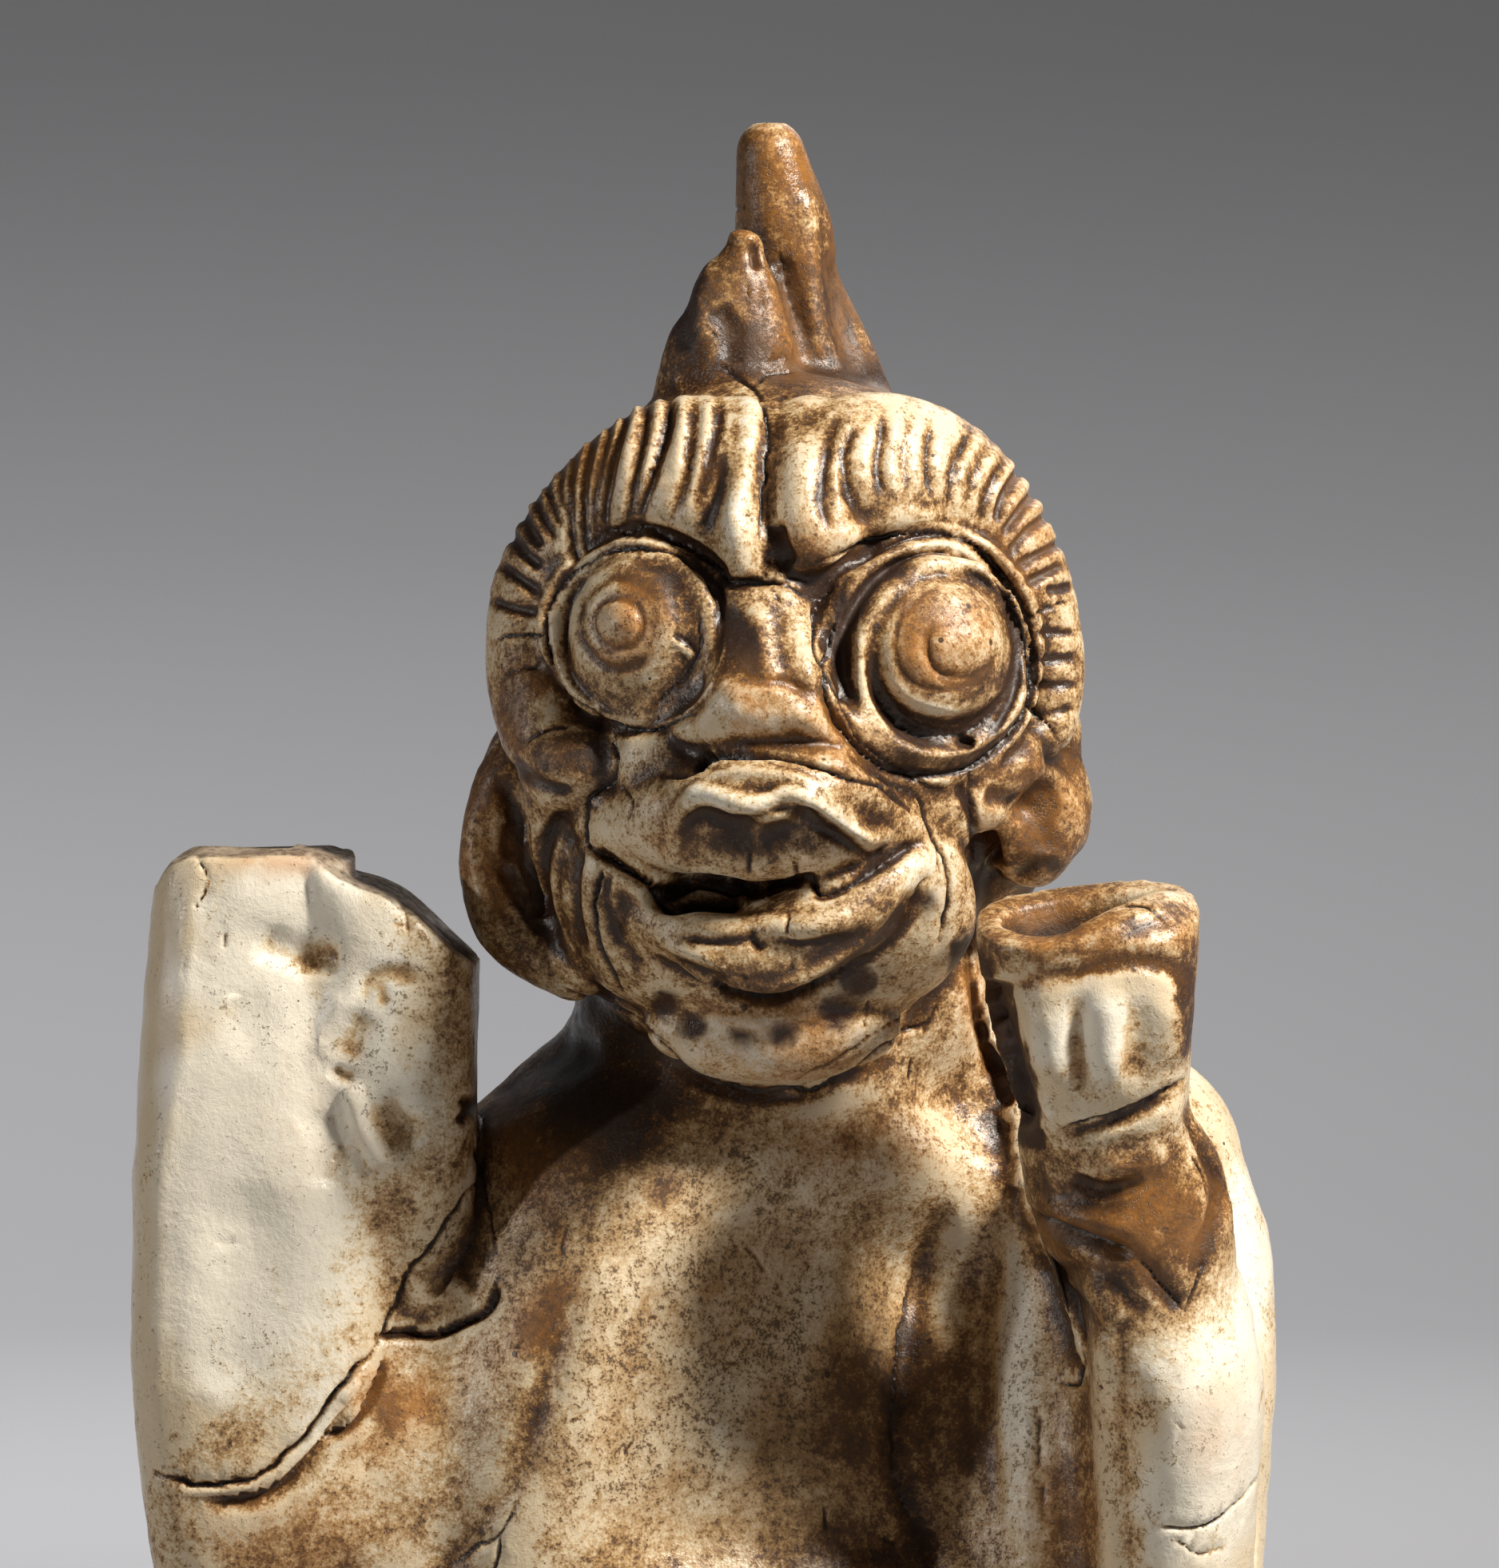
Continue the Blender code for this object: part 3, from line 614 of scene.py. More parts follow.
        # one gently curved sheet over an area, so that no seam between the masses shows through
        u = (self.at[:, 0] - x) / across
        v = (self.at[:, 2] - z) / up
        far = np.hypot(u, v)
        index = np.nonzero((far < 1) & (self.view > 0.3) & (self.facing > 0.15))[0]
        u, v = u[index], v[index]
        terms = np.stack([np.ones_like(u), u, v, u * u, u * v, v * v, u ** 3, v ** 3], 1)
        sheet = terms @ np.linalg.lstsq(terms, self.at[index, 1], rcond=None)[0]
        blend = np.clip((1 - far[index]) / 0.4, 0, 1) * self.view[index]
        self.at[index, 1] += (sheet - self.at[index, 1]) * blend * blend * (3 - 2 * blend)

    def roughen(self, amount, size, seed):
        self.at += self.out * (randomField(self.at, size, seed) * amount)[:, None]


def carveBrows(skin):
    # left brow: upright grooves that lean out and turn level down the temple
    grooves = [[(0, 291.7), (0, 287.8), (-1.4, 282.8), (-3.4, 274)],
               [(-3.2, 291.5), (-3.6, 287), (-4.6, 280), (-7, 273)],
               [(-6.9, 292.1), (-6.9, 287.8), (-8.2, 283.2), (-10.7, 275.8), (-11.4, 272)],
               [(-9.9, 291.7), (-10.3, 286), (-11.7, 278.9), (-13, 271.6)],
               [(-12.4, 291), (-13.1, 287.8), (-14.9, 281.8), (-16, 275), (-15.6, 270.6)],
               [(-14.6, 290.3), (-15.4, 286.8), (-16.8, 280.7), (-17.6, 275), (-17, 269.6)],
               [(-16.5, 289.9), (-17.6, 285.7), (-18.8, 280), (-19, 275), (-18.6, 268.4)],
               [(-19.2, 287.8), (-20, 284.3), (-20.8, 280), (-20.8, 274), (-20, 267)],
               [(-21.2, 286), (-22, 282.4), (-22.4, 278), (-21.6, 274)],
               [(-23.4, 283.4), (-24.2, 279), (-23, 274.6), (-21.4, 271.8)],
               [(-26, 279.4), (-25.6, 276), (-24, 273), (-22.4, 270.6)],
               [(-28, 276), (-26.6, 272.6), (-24.4, 269.6)], [(-29.6, 272), (-27.4, 269.4), (-24.4, 267)],
               [(-31, 267.6), (-28, 265.8), (-24.8, 263.6)], [(-32, 262.4), (-29, 261.6), (-25, 260.8)]]
    for k, line in enumerate(grooves):
        deep = (0.7, 0.6, 1.3, 0.9, 1.3, 1, 1.2, 1.1)[k] if k < 8 else 0.95
        skin.press(line, 1.35, deep * 0.85, fade=0.2, paint="stain", amount=0.32 + 0.2 * deep)
    for line in ([(-1.6, 291), (-1.8, 286), (-3, 280)], [(-5, 291.6), (-5.2, 286), (-6.4, 280)],
                 [(-8.4, 291.6), (-8.8, 286), (-10.4, 278)], [(-11.2, 291), (-12, 286), (-13.6, 279)]):
        skin.press(line, 1.2, -0.35)
    skin.press([(3.5, 292.8), (4.2, 287.8), (3.5, 280.7), (2.1, 274.3), (3.5, 268)], 2, -0.7, paint="white",
               amount=0.5)
    skin.press([(0.4, 284), (-0.6, 277), (-2.6, 272)], 1.7, 0.7, paint="umber", amount=0.5)
    # right brow: fat crescents near the middle, then dark grooves that spread like rays
    crescents = [([(14.3, 282.7), (13.9, 276.9), (15.4, 272.3)], 0.9),
                 ([(18.4, 290), (15.4, 285.5), (15, 279), (16.6, 274)], 0.7),
                 ([(19.7, 288), (17.2, 283.4), (17.6, 278), (19.3, 274.6)], 1.1),
                 ([(22.6, 289.4), (22.4, 285.3), (21.8, 280.4), (23.1, 276.6)], 1.1),
                 ([(26, 289), (25.2, 283), (25.8, 277.4)], 0.5),
                 ([(29.2, 287.6), (28.5, 282.3), (29.4, 276.6)], 0.8),
                 ([(35, 286.5), (32.3, 281.1), (31.5, 275.2)], 0.8),
                 ([(37.4, 284.6), (34.7, 279.4), (33.8, 274)], 0.5),
                 ([(39.6, 282.7), (36.9, 277.3), (36.1, 272.7)], 0.9)]
    for line, deep in crescents:
        skin.press(line, 1.5, deep * 0.62, fade=0.25, paint="stain", amount=0.32 * deep)
        skin.press([(x + 1.9, z) for x, z in line], 2, -0.3)
    rays = [[(42.6, 281.5), (39.6, 277.3), (38.4, 273.1)], [(45.3, 278.8), (41.5, 274.6), (39.2, 271.6)],
            [(47.2, 275), (42.6, 271.9), (40.3, 268.9)], [(48, 270.6), (43.4, 268.4), (41.5, 267.3)],
            [(48, 267.4), (44, 265.6), (42.6, 264.8)], [(49.4, 264.4), (45.4, 263.8)],
            [(49.6, 258), (46, 258.2), (43.4, 258.2)], [(49.8, 254.6), (46.4, 254.3), (43.6, 254.3)],
            [(49.8, 250.9), (46, 250.7), (43.6, 250.7)], [(49.4, 247.6), (46, 247), (44.2, 246.8)]]
    for k, line in enumerate(rays):
        skin.press(line, 1.1, 1.0 if k < 6 else 0.5, fade=0.15, paint="umber" if k < 6 else "stain",
                   amount=0.95 if k < 6 else 0.4)
    skin.press([(44, 280), (40.6, 275.8), (38.8, 272.4)], 0.9, -0.3)
    skin.press([(46.4, 277), (42, 273.2), (39.8, 270.2)], 0.9, -0.3)
    # the middle fold, the shelf under the brows, and the cracks between
    skin.press([(7.6, 274), (8.6, 270.6), (10, 267.4)], 2, 1.6, fade=0.15, paint="umber", amount=0.8)
    skin.press([(11.4, 286), (10.8, 278), (12, 271.6)], 3.4, -0.7)
    skin.press([(14.6, 270.6), (20, 272.6), (26, 274.4), (32, 273.6)], 2.4, -0.7)
    under = [(-21.7, 248.2), (-23.3, 254.9), (-23.3, 260.4), (-21.7, 265.4), (-18.9, 269.3), (-15, 271.8),
             (-11.1, 273.2), (-7.2, 272.1), (-3.3, 270.2), (0, 267.6), (1.4, 265.6), (7.1, 265.5)]
    skin.press(under, 1.2, 0.5, paint="stain", amount=0.3)
    skin.press(under[6:], 1.3, 0.7, paint="stain", amount=0.4)
    skin.press([(10, 266), (15.6, 267.1), (18.9, 268.8), (24.4, 271.3), (30.6, 272.2), (35, 270.7),
                (38.3, 267.1), (40.6, 261.6), (42.2, 257.1), (43.1, 251.6), (43.1, 247.7)], 1.3, 1.3,
               paint="stain", amount=0.6)
    skin.split([(-2.6, 293.9), (0.2, 295), (2.1, 293.7), (4.9, 291.7), (6.3, 288.2), (6.4, 282.5),
                (5.9, 277.2), (5.7, 272.2)], 0.5, 0.9, wander=0.4, seed=2)
    skin.split([(-18, 272), (-15, 272.6), (-12.6, 272), (-10, 273), (-7.2, 271.4), (-3.3, 269.6),
                (0, 267.2), (1.4, 265.5), (7.1, 265.6), (10.6, 266.3)], 0.45, 1.1, seed=4)
    skin.split([(13.4, 268.4), (17, 269.6), (21, 271.4), (26, 272.4), (30.6, 272.3), (35, 270.8),
                (38.3, 267.1), (40.6, 261.6), (42.2, 257.1), (43.1, 251.6), (43.2, 247.7), (45.6, 245.4),
                (47.8, 241.6)], 0.5, 1.2, seed=5)
    skin.split([(42.2, 259.9), (45.7, 261.6), (49.1, 262.4)], 0.35, 0.6, seed=6)
    skin.split([(-31.2, 256.6), (-29.1, 257.7), (-24.1, 257.9)], 0.4, 0.8, seed=7)
    skin.split([(-30.5, 251.3), (-28.7, 252.7), (-24.5, 253.6)], 0.4, 0.8, seed=8)
    skin.split([(-26.6, 243.1), (-24.8, 244.6), (-20.2, 245.6)], 0.4, 0.7, seed=9)
    skin.split([(29.2, 287.6), (28.5, 282.3), (29, 277)], 0.3, 0.4, seed=10, amount=0.8)
    skin.split([(35, 286.5), (32.3, 281.1), (31.5, 275.8)], 0.3, 0.4, seed=11, amount=0.8)
    skin.split([(-6.9, 290), (-7.3, 286.8), (-8.4, 282.6), (-9.6, 279.4)], 0.35, 0.5, seed=12, amount=0.9)
    skin.press([(-29.5, 241), (-25, 237.6), (-19.4, 236.2)], 1.6, 0.9, paint="stain")


def carveEyes(skin):
    skin.soften(-11.4, 258, 10.6, 11.4, 40)
    skin.soften(31, 255.6, 8.6, 9.2, 24)
    for row in [(-11.4, 257.9, 12.4, 13.1, 0, 360, 1.1, 0.7, 0, "stain", 0.5),
                (-11.2, 258.2, 10, 11, 150, 330, 1.2, 0.3, 0.25, "stain", 0.35),
                (-13.8, 259.8, 5.4, 5.9, 60, 340, 1.1, 0.45, 0.2, "stain", 0.75),
                (-13.2, 260.2, 6.2, 6.6, -50, 110, 1.6, -0.6, 0.3),
                (-13.7, 259.9, 3.3, 3.6, 0, 360, 0.8, 0.35, 0, "stain", 0.55)]:
        skin.ring(*row)
    skin.press([(-14.4, 259.8), (-13, 260)], 3, -0.7, fade=0, front=True)
    skin.press([(-15.6, 266.8), (-10.8, 266.2), (-7.2, 263.4), (-6.6, 259)], 1.6, 0.4, paint="umber",
               amount=0.7, front=True)
    skin.press([(-6.4, 257.4), (-4.8, 256.8), (-3.6, 255.2)], 0.9, -0.5, front=True)
    skin.press([(-6.6, 258.4), (-5, 257.8), (-3.6, 256.4)], 0.7, 0.4, paint="stain", amount=0.8, front=True)
    skin.split(ellipse(-11.4, 257.9, 11.9, 12.7, 10, 330), 0.45, 1.0, wander=0.35, seed=13)
    skin.split([(-2.4, 261), (-2.8, 256), (-5.6, 251.6), (-9, 248.4)], 0.3, 0.5, seed=14, amount=0.8)
    # the other eye: a cream lid, a dark trough, a thin ledge and the ball with its iris
    for row in [(28.9, 254.9, 14.4, 16.8, 0, 360, 1.1, 0.8, 0, "stain", 0.45),
                (29, 255.6, 12.8, 14.8, 10, 165, 1.6, -0.6, 0.15, "white", 0.5),
                (27.6, 257, 10.8, 10.8, 78, 215, 2.7, 1.9, 0.25, "umber", 1),
                (30, 254.4, 11.8, 12.8, 300, 440, 1, 0.7, 0.15, "umber", 0.8),
                (29, 254, 11.4, 13, 190, 285, 2.6, -1.2, 0.3, "white", 0.4),
                (29.6, 252.6, 11.4, 13.2, 235, 320, 1, 0.5, 0.25, "umber", 0.6),
                (30.8, 255.5, 9.7, 10.2, 200, 380, 0.8, 0.6, 0.2, "stain", 0.6),
                (31.2, 256.4, 8.7, 8.6, 190, 330, 1.3, -0.5, 0.25, "white", 1),
                (31, 254.2, 8.8, 8.2, 205, 330, 0.8, 0.4, 0.25, "stain", 0.8),
                (31.6, 257.6, 7.4, 6.9, 80, 345, 0.8, 0.25, 0.2, "umber", 0.55),
                (33.4, 257.3, 4.8, 4.8, 150, 370, 0.8, 0.6, 0.15, "crack", 0.4)]:
        skin.ring(*row)
    skin.press([(32.2, 257.6), (34.6, 257.4)], 4.4, -0.6, fade=0, front=True)
    skin.press([(29.4, 253.6), (32.4, 251.6), (36, 252.4)], 0.9, 0.4, paint="umber", amount=0.5, front=True)
    skin.press([(33.4, 243.4), (34.4, 243.2)], 1.2, 1.8, fade=0, paint="stain", amount=1, front=True)
    skin.split(ellipse(28.9, 254.9, 14.2, 16.6, -95, 75), 0.5, 1.2, wander=0.35, seed=15)
    skin.split(ellipse(28.9, 254.9, 14, 16.4, 150, 262), 0.45, 1.0, wander=0.35, seed=16)
    skin.split(ellipse(30.4, 255, 10.2, 10.8, 195, 320), 0.4, 0.8, wander=0.35, seed=17)


def carveNoseAndCheeks(skin):
    # the bridge has two facets, the dark left one and the pale right one, and spreads into wings
    skin.soften(6.6, 257, 8, 8, 14)
    skin.press([(1.6, 263), (1.8, 257), (0.6, 251.6)], 2.8, 0.35, paint="umber", amount=0.6)
    skin.press([(5.2, 263.4), (6, 257), (7, 251)], 2.4, -0.7)
    skin.press([(10.6, 263), (11.4, 257), (12.6, 251)], 2.4, -0.5)
    skin.press([(4.2, 252.6), (8, 252.2), (12, 251)], 1.4, 0.5, paint="ochre", amount=0.9)
    skin.press([(-0.6, 249), (4, 250), (9.4, 249.4), (15.6, 246.6)], 3.4, -1.0)
    skin.press([(9, 248.6), (13.4, 245.6), (18.6, 241)], 2.4, -0.9)
    skin.press([(9, 252.6), (13.6, 249.4), (18, 244.8)], 1.8, 0.6, paint="ochre", amount=0.5)
    # painted highlight: the bright patch on the nose tip
    skin.press([(0.4, 248), (5.2, 247), (11, 246.6)], 3, -0.8, paint="white", amount=0.6)
    skin.press([(-2, 243.4), (4, 243.2), (10, 243), (15, 241.6)], 1.8, 0.6, paint="stain", amount=0.6)
    skin.press([(-8.6, 246.2), (-5.6, 243.4), (-3, 242.2)], 1.8, 0.7, paint="stain", amount=0.6)
    skin.split([(1.4, 265.5), (4.4, 265.9), (8.9, 265.3), (12.8, 263.2)], 0.4, 0.7, seed=20)
    skin.split([(12.8, 263.4), (13.1, 259.3), (13.3, 255.8), (15.6, 252.1), (17.2, 248.2), (19.4, 244.3),
                (23.3, 241), (27.8, 237.9), (30.6, 236.8)], 0.45, 1.0, seed=21)
    skin.split([(15.6, 264.6), (13.6, 262.6), (12.9, 260)], 0.35, 0.5, seed=26, amount=0.8)
    skin.press([(0.4, 264.3), (0, 258.2), (-1.2, 253.8), (-4, 249.6), (-8, 246.8), (-12.6, 245),
                (-16, 245.6)], 1.1, 0.6, paint="stain", amount=0.45)
    skin.split([(-7.8, 239), (-4.7, 239.4), (-1.3, 242), (1.4, 242.5), (6.8, 242.5), (10.6, 241.9),
                (14.4, 240.6), (18.2, 239), (22.1, 237.9), (24.4, 235.6), (26.5, 233.7)], 0.5, 1.2, seed=22)
    skin.press([(-4.7, 238.8), (-1.3, 241), (1.4, 241.5), (6.8, 241.5), (12, 240.4), (17, 238)], 1.6, 0.9,
               paint="stain", amount=0.5)
    skin.split([(-14.3, 244.4), (-14.4, 238.3), (-17.7, 235.6), (-18.3, 229.9), (-17.3, 228.3)], 0.5, 1.1,
               seed=23)
    skin.split([(-16.2, 226.8), (-17.3, 221.4), (-16.6, 215.7), (-15, 211.9), (-13.5, 208.8)], 0.55, 1.2,
               seed=27)
    skin.split([(-13.8, 237.8), (-12, 235.6), (-12.6, 232.6)], 0.3, 0.5, seed=28, amount=0.8)
    skin.press([(-15.4, 226.6), (-15.8, 221.4), (-14, 214.4)], 1.3, 0.6, paint="stain", amount=0.6)
    skin.press([(-21.1, 233.8), (-23.9, 229.3), (-25, 223.8), (-24.2, 218.2), (-22.2, 213.8)], 1.8, 1.6,
               paint="stain", amount=0.9)
    skin.press([(-19, 230), (-20.2, 224.8), (-20, 218.2), (-18.3, 212.7)], 1.5, 1.2, paint="stain",
               amount=0.7)
    skin.press([(-31.1, 225.4), (-28.3, 221.6), (-25.6, 217.1), (-23.3, 215.4)], 1.8, 1.1, paint="stain")
    skin.split([(27.4, 236), (29, 230.7), (30.9, 227.6), (31.7, 223.8), (31.3, 219.9), (30.1, 216.1)], 0.45,
               1.0, seed=24)
    skin.split([(29.6, 229.6), (30.6, 225.4)], 0.25, 0.4, seed=29, amount=0.7)
    skin.split([(26.6, 220.6), (27.4, 223.4), (29, 225)], 0.3, 0.4, seed=18, amount=0.8)
    skin.split([(21, 239.6), (23.4, 237.8), (26.6, 236.4), (28.6, 233.6)], 0.35, 0.6, seed=25)
    skin.split([(34.6, 240.4), (34.6, 236.6), (35.4, 234)], 0.35, 0.5, seed=19)


def carveMouth(skin):
    # the upper lip's white bow with the stained hollow under it
    skin.soften(14, 222.4, 10, 4, 60)
    skin.soften(5, 214.6, 17, 4.6, 40)
    skin.press([(-5.1, 234.1), (-2.8, 237.2), (1.4, 236.3), (4.9, 235.6), (9.1, 237.4), (12.5, 236),
                (16.3, 232.9), (20.2, 230.2), (22.9, 229.1)], 1.7, -0.8, fade=0.1, paint="white",
               amount=0.9)
    skin.press([(-5.1, 229.9), (-4.7, 232.7), (-2, 234.2), (1.4, 233.1), (4.9, 233.5), (8.3, 235.2),
                (11.8, 234.4), (14.4, 232.3), (18.2, 229.9), (21.3, 228.9)], 1.9, 1.1, fade=0.15,
               paint="stain", amount=0.45)
    skin.press([(-3, 231), (1, 231.2), (5, 230), (9, 231.6), (13, 230.6), (16, 229)], 3.4, 1.2,
               paint="stain", amount=0.3)
    skin.press([(4.6, 233), (5.6, 229.6), (6.2, 226)], 1.6, -0.35)
    skin.press([(0.4, 240.2), (6, 240.4), (13, 239), (19, 236.4)], 1.4, -0.3)
    # the gap: open at the left, shut at the right
    gap = [(-17.7, 228.7), (-12.3, 225.7), (-7.4, 223.4), (-2.8, 224.7), (3, 223.9), (6, 222.2),
           (9.8, 224.3), (12.5, 225.1), (13.3, 223.7), (14.4, 223), (19, 224.9), (27.1, 229.9)]
    skin.press(gap[:6], 1.3, 1.3, fade=0.06, paint="stain", amount=0.7)
    skin.press(gap[5:], 1.2, 0.7, fade=0.06, paint="stain", amount=0.6)
    skin.press([(-10.6, 223.4), (-6.6, 221.6), (-1.6, 222), (3.6, 221.6)], 2.2, 3.4, fade=0.12,
               paint="crack", amount=0.8)
    skin.split(gap[:6], 0.7, 2.2, wander=0.15, seed=30)
    skin.split(gap[5:], 0.45, 1.3, wander=0.15, seed=44)
    # the lower lip: a fat roll, a cleft in its middle, and an undercut below
    skin.press([(-8, 219.6), (-2, 218.6), (3, 218.2), (8, 218.6), (14, 219), (20, 221.6)], 2.3, -1.1)
    # painted highlight along the top of the lower lip's roll
    skin.press([(-6.4, 218.6), (-2, 218), (3, 218)], 1.4, -0.2, paint="white", amount=0.9)
    skin.press([(3.8, 218.4), (5.2, 216.6), (5.8, 215)], 1.3, 0.5, paint="stain", amount=0.4)
    lip = [(-10.6, 218), (-8.6, 214.6), (-5.5, 213), (-0.9, 211.5), (1.4, 209.2), (4.9, 208.2),
           (8.7, 208.2), (12.5, 209.6), (16.3, 211.9), (20.2, 214.5), (25.1, 219.1), (27.6, 225)]
    skin.press(lip, 2.2, 1.5, fade=0.15, paint="stain", amount=0.55)
    skin.press(lip[2:9], 1.4, 1.6, fade=0.2, paint="umber", amount=0.7)
    skin.press([(x - 0.4, z + 2.2) for x, z in lip[1:-1]], 1.6, -0.7)
    skin.split(lip[3:10], 0.45, 1.0, seed=31)
    skin.press([(-13, 223), (-14, 217), (-10, 211)], 1.8, 0.6, paint="stain", amount=0.6)
    skin.press([(-4.4, 217), (-1, 216.6), (2.6, 216.8), (4.6, 217.4)], 0.9, 0.4, paint="umber", amount=0.8)
    skin.press([(7.8, 217), (11.1, 216.4), (14.4, 217), (17.2, 217.6)], 0.9, 0.3, paint="umber", amount=0.7)
    nicks = [[(9.6, 220.4), (9.4, 217.6)], [(4.4, 229), (4, 226)], [(10.2, 229), (10.8, 225.4)]]
    for k, line in enumerate(nicks):
        skin.split(line, 0.35, 0.6, seed=33 + k, amount=0.9)
    skin.press([(-3.4, 205.6), (3, 204.6), (9, 204.8), (15, 207)], 1.7, -0.4)
    skin.split([(-20.9, 207.7), (-16, 205.6), (-10.1, 203.1), (-4.7, 197.3), (-0.9, 195), (5.2, 193.6),
                (10.6, 193.9), (13.3, 193.6), (18.2, 196.6), (23.2, 200.8), (29, 202.7), (30.5, 205)], 0.55,
               1.4, seed=40)
    skin.press([(-10.1, 202.6), (-4.7, 196.6), (-0.9, 194.2), (5.2, 192.8), (13.3, 192.8), (18.2, 195.8),
                (23.2, 200)], 1.8, 0.6, paint="stain", amount=0.25)
    skin.split([(11, 196.6), (16.7, 199.4), (22.2, 203), (27.8, 206), (30, 208)], 0.3, 0.5, seed=41,
               amount=0.7)
    for x, z in ((-7.2, 207.1), (-3.7, 204), (3.1, 202.5), (8.9, 202.5), (16.3, 206.1), (19.4, 210.3)):
        skin.press([(x - 0.5, z), (x + 0.5, z)], 2.4, 0.25, fade=0)


def carveEarsAndHorns(skin):
    # the right ear is a curled flap with a hole at its root
    skin.press([(37.2, 230), (37.9, 227.4), (38.6, 224.4)], 1.9, 4.2, fade=0.1, paint="stain", amount=1)
    skin.press([(32.6, 238), (34.6, 234), (35.6, 229.6), (36.6, 225)], 1.2, 0.9, paint="stain", amount=0.6)
    skin.press([(42, 236.6), (45.4, 231.4), (45.8, 226)], 3.8, 1.3, paint="umber", amount=0.35)
    skin.press([(36.4, 236.6), (40.4, 234.8), (43.8, 231.6)], 2.6, 1.2, paint="umber", amount=0.4)
    skin.press([(38, 239.6), (43, 239.8), (48, 236), (50.6, 230), (49.4, 224.4)], 2, -0.6)
    skin.press([(41, 222.6), (44.6, 225.4), (48.4, 224.4)], 1.8, 0.5, paint="stain", amount=0.4)
    skin.press([(-33.9, 236), (-34.8, 228), (-32.8, 219.4), (-29, 214)], 1.8, -0.5)
    skin.press([(-31, 238), (-29, 232), (-29.6, 225)], 2.4, 1.1, paint="stain", amount=0.6)
    skin.press([(-27.6, 233), (-27.2, 227), (-26, 221.6)], 1.5, 1.1, paint="stain", amount=0.8)
    skin.press([(-24.6, 213.6), (-20, 210), (-15, 207.4)], 1.8, -0.5)
    # horns: a flattened tip with its thumbed pit, and the long facet of the taller one
    skin.press([(-3.4, 312.4), (1.4, 313.4), (5.8, 312)], 1.4, -0.5)
    skin.press([(4.9, 311.6), (5.2, 309.4)], 1.1, 1.5, fade=0, paint="umber", amount=1)
    skin.press([(-0.6, 303.8), (1.6, 299.6), (1.2, 295)], 2.6, 0.9, paint="stain", amount=0.3)
    skin.press([(-6.6, 309), (-5, 302), (-6, 296)], 2.4, 0.6)
    skin.press([(-1, 311), (-2.6, 304), (-3, 297)], 1.8, -0.4)
    skin.press([(16, 312), (17, 303), (19.6, 294)], 2.6, 1.3, paint="umber", amount=0.85)
    skin.press([(12.4, 322), (12.8, 312), (13.6, 302), (15, 295)], 1.8, -0.5)
    skin.press([(9, 311), (10.4, 304), (12.2, 298)], 2, 0.8, paint="umber", amount=0.45)
    skin.split([(8.4, 311), (9.6, 306), (10.8, 301.4)], 0.35, 0.6, seed=46, amount=0.8)
    skin.split([(1.6, 317), (3.4, 317.6)], 0.35, 0.5, seed=47, amount=0.8)
    skin.split([(5.3, 292.1), (6.5, 293.8), (10.2, 294.1)], 0.4, 0.8, seed=48)
    skin.split([(7, 295.4), (9.2, 296.4)], 0.35, 0.6, seed=49)
    skin.split([(5.4, 290.6), (7.4, 289.4), (9.6, 291)], 0.3, 0.5, seed=43, amount=0.8)


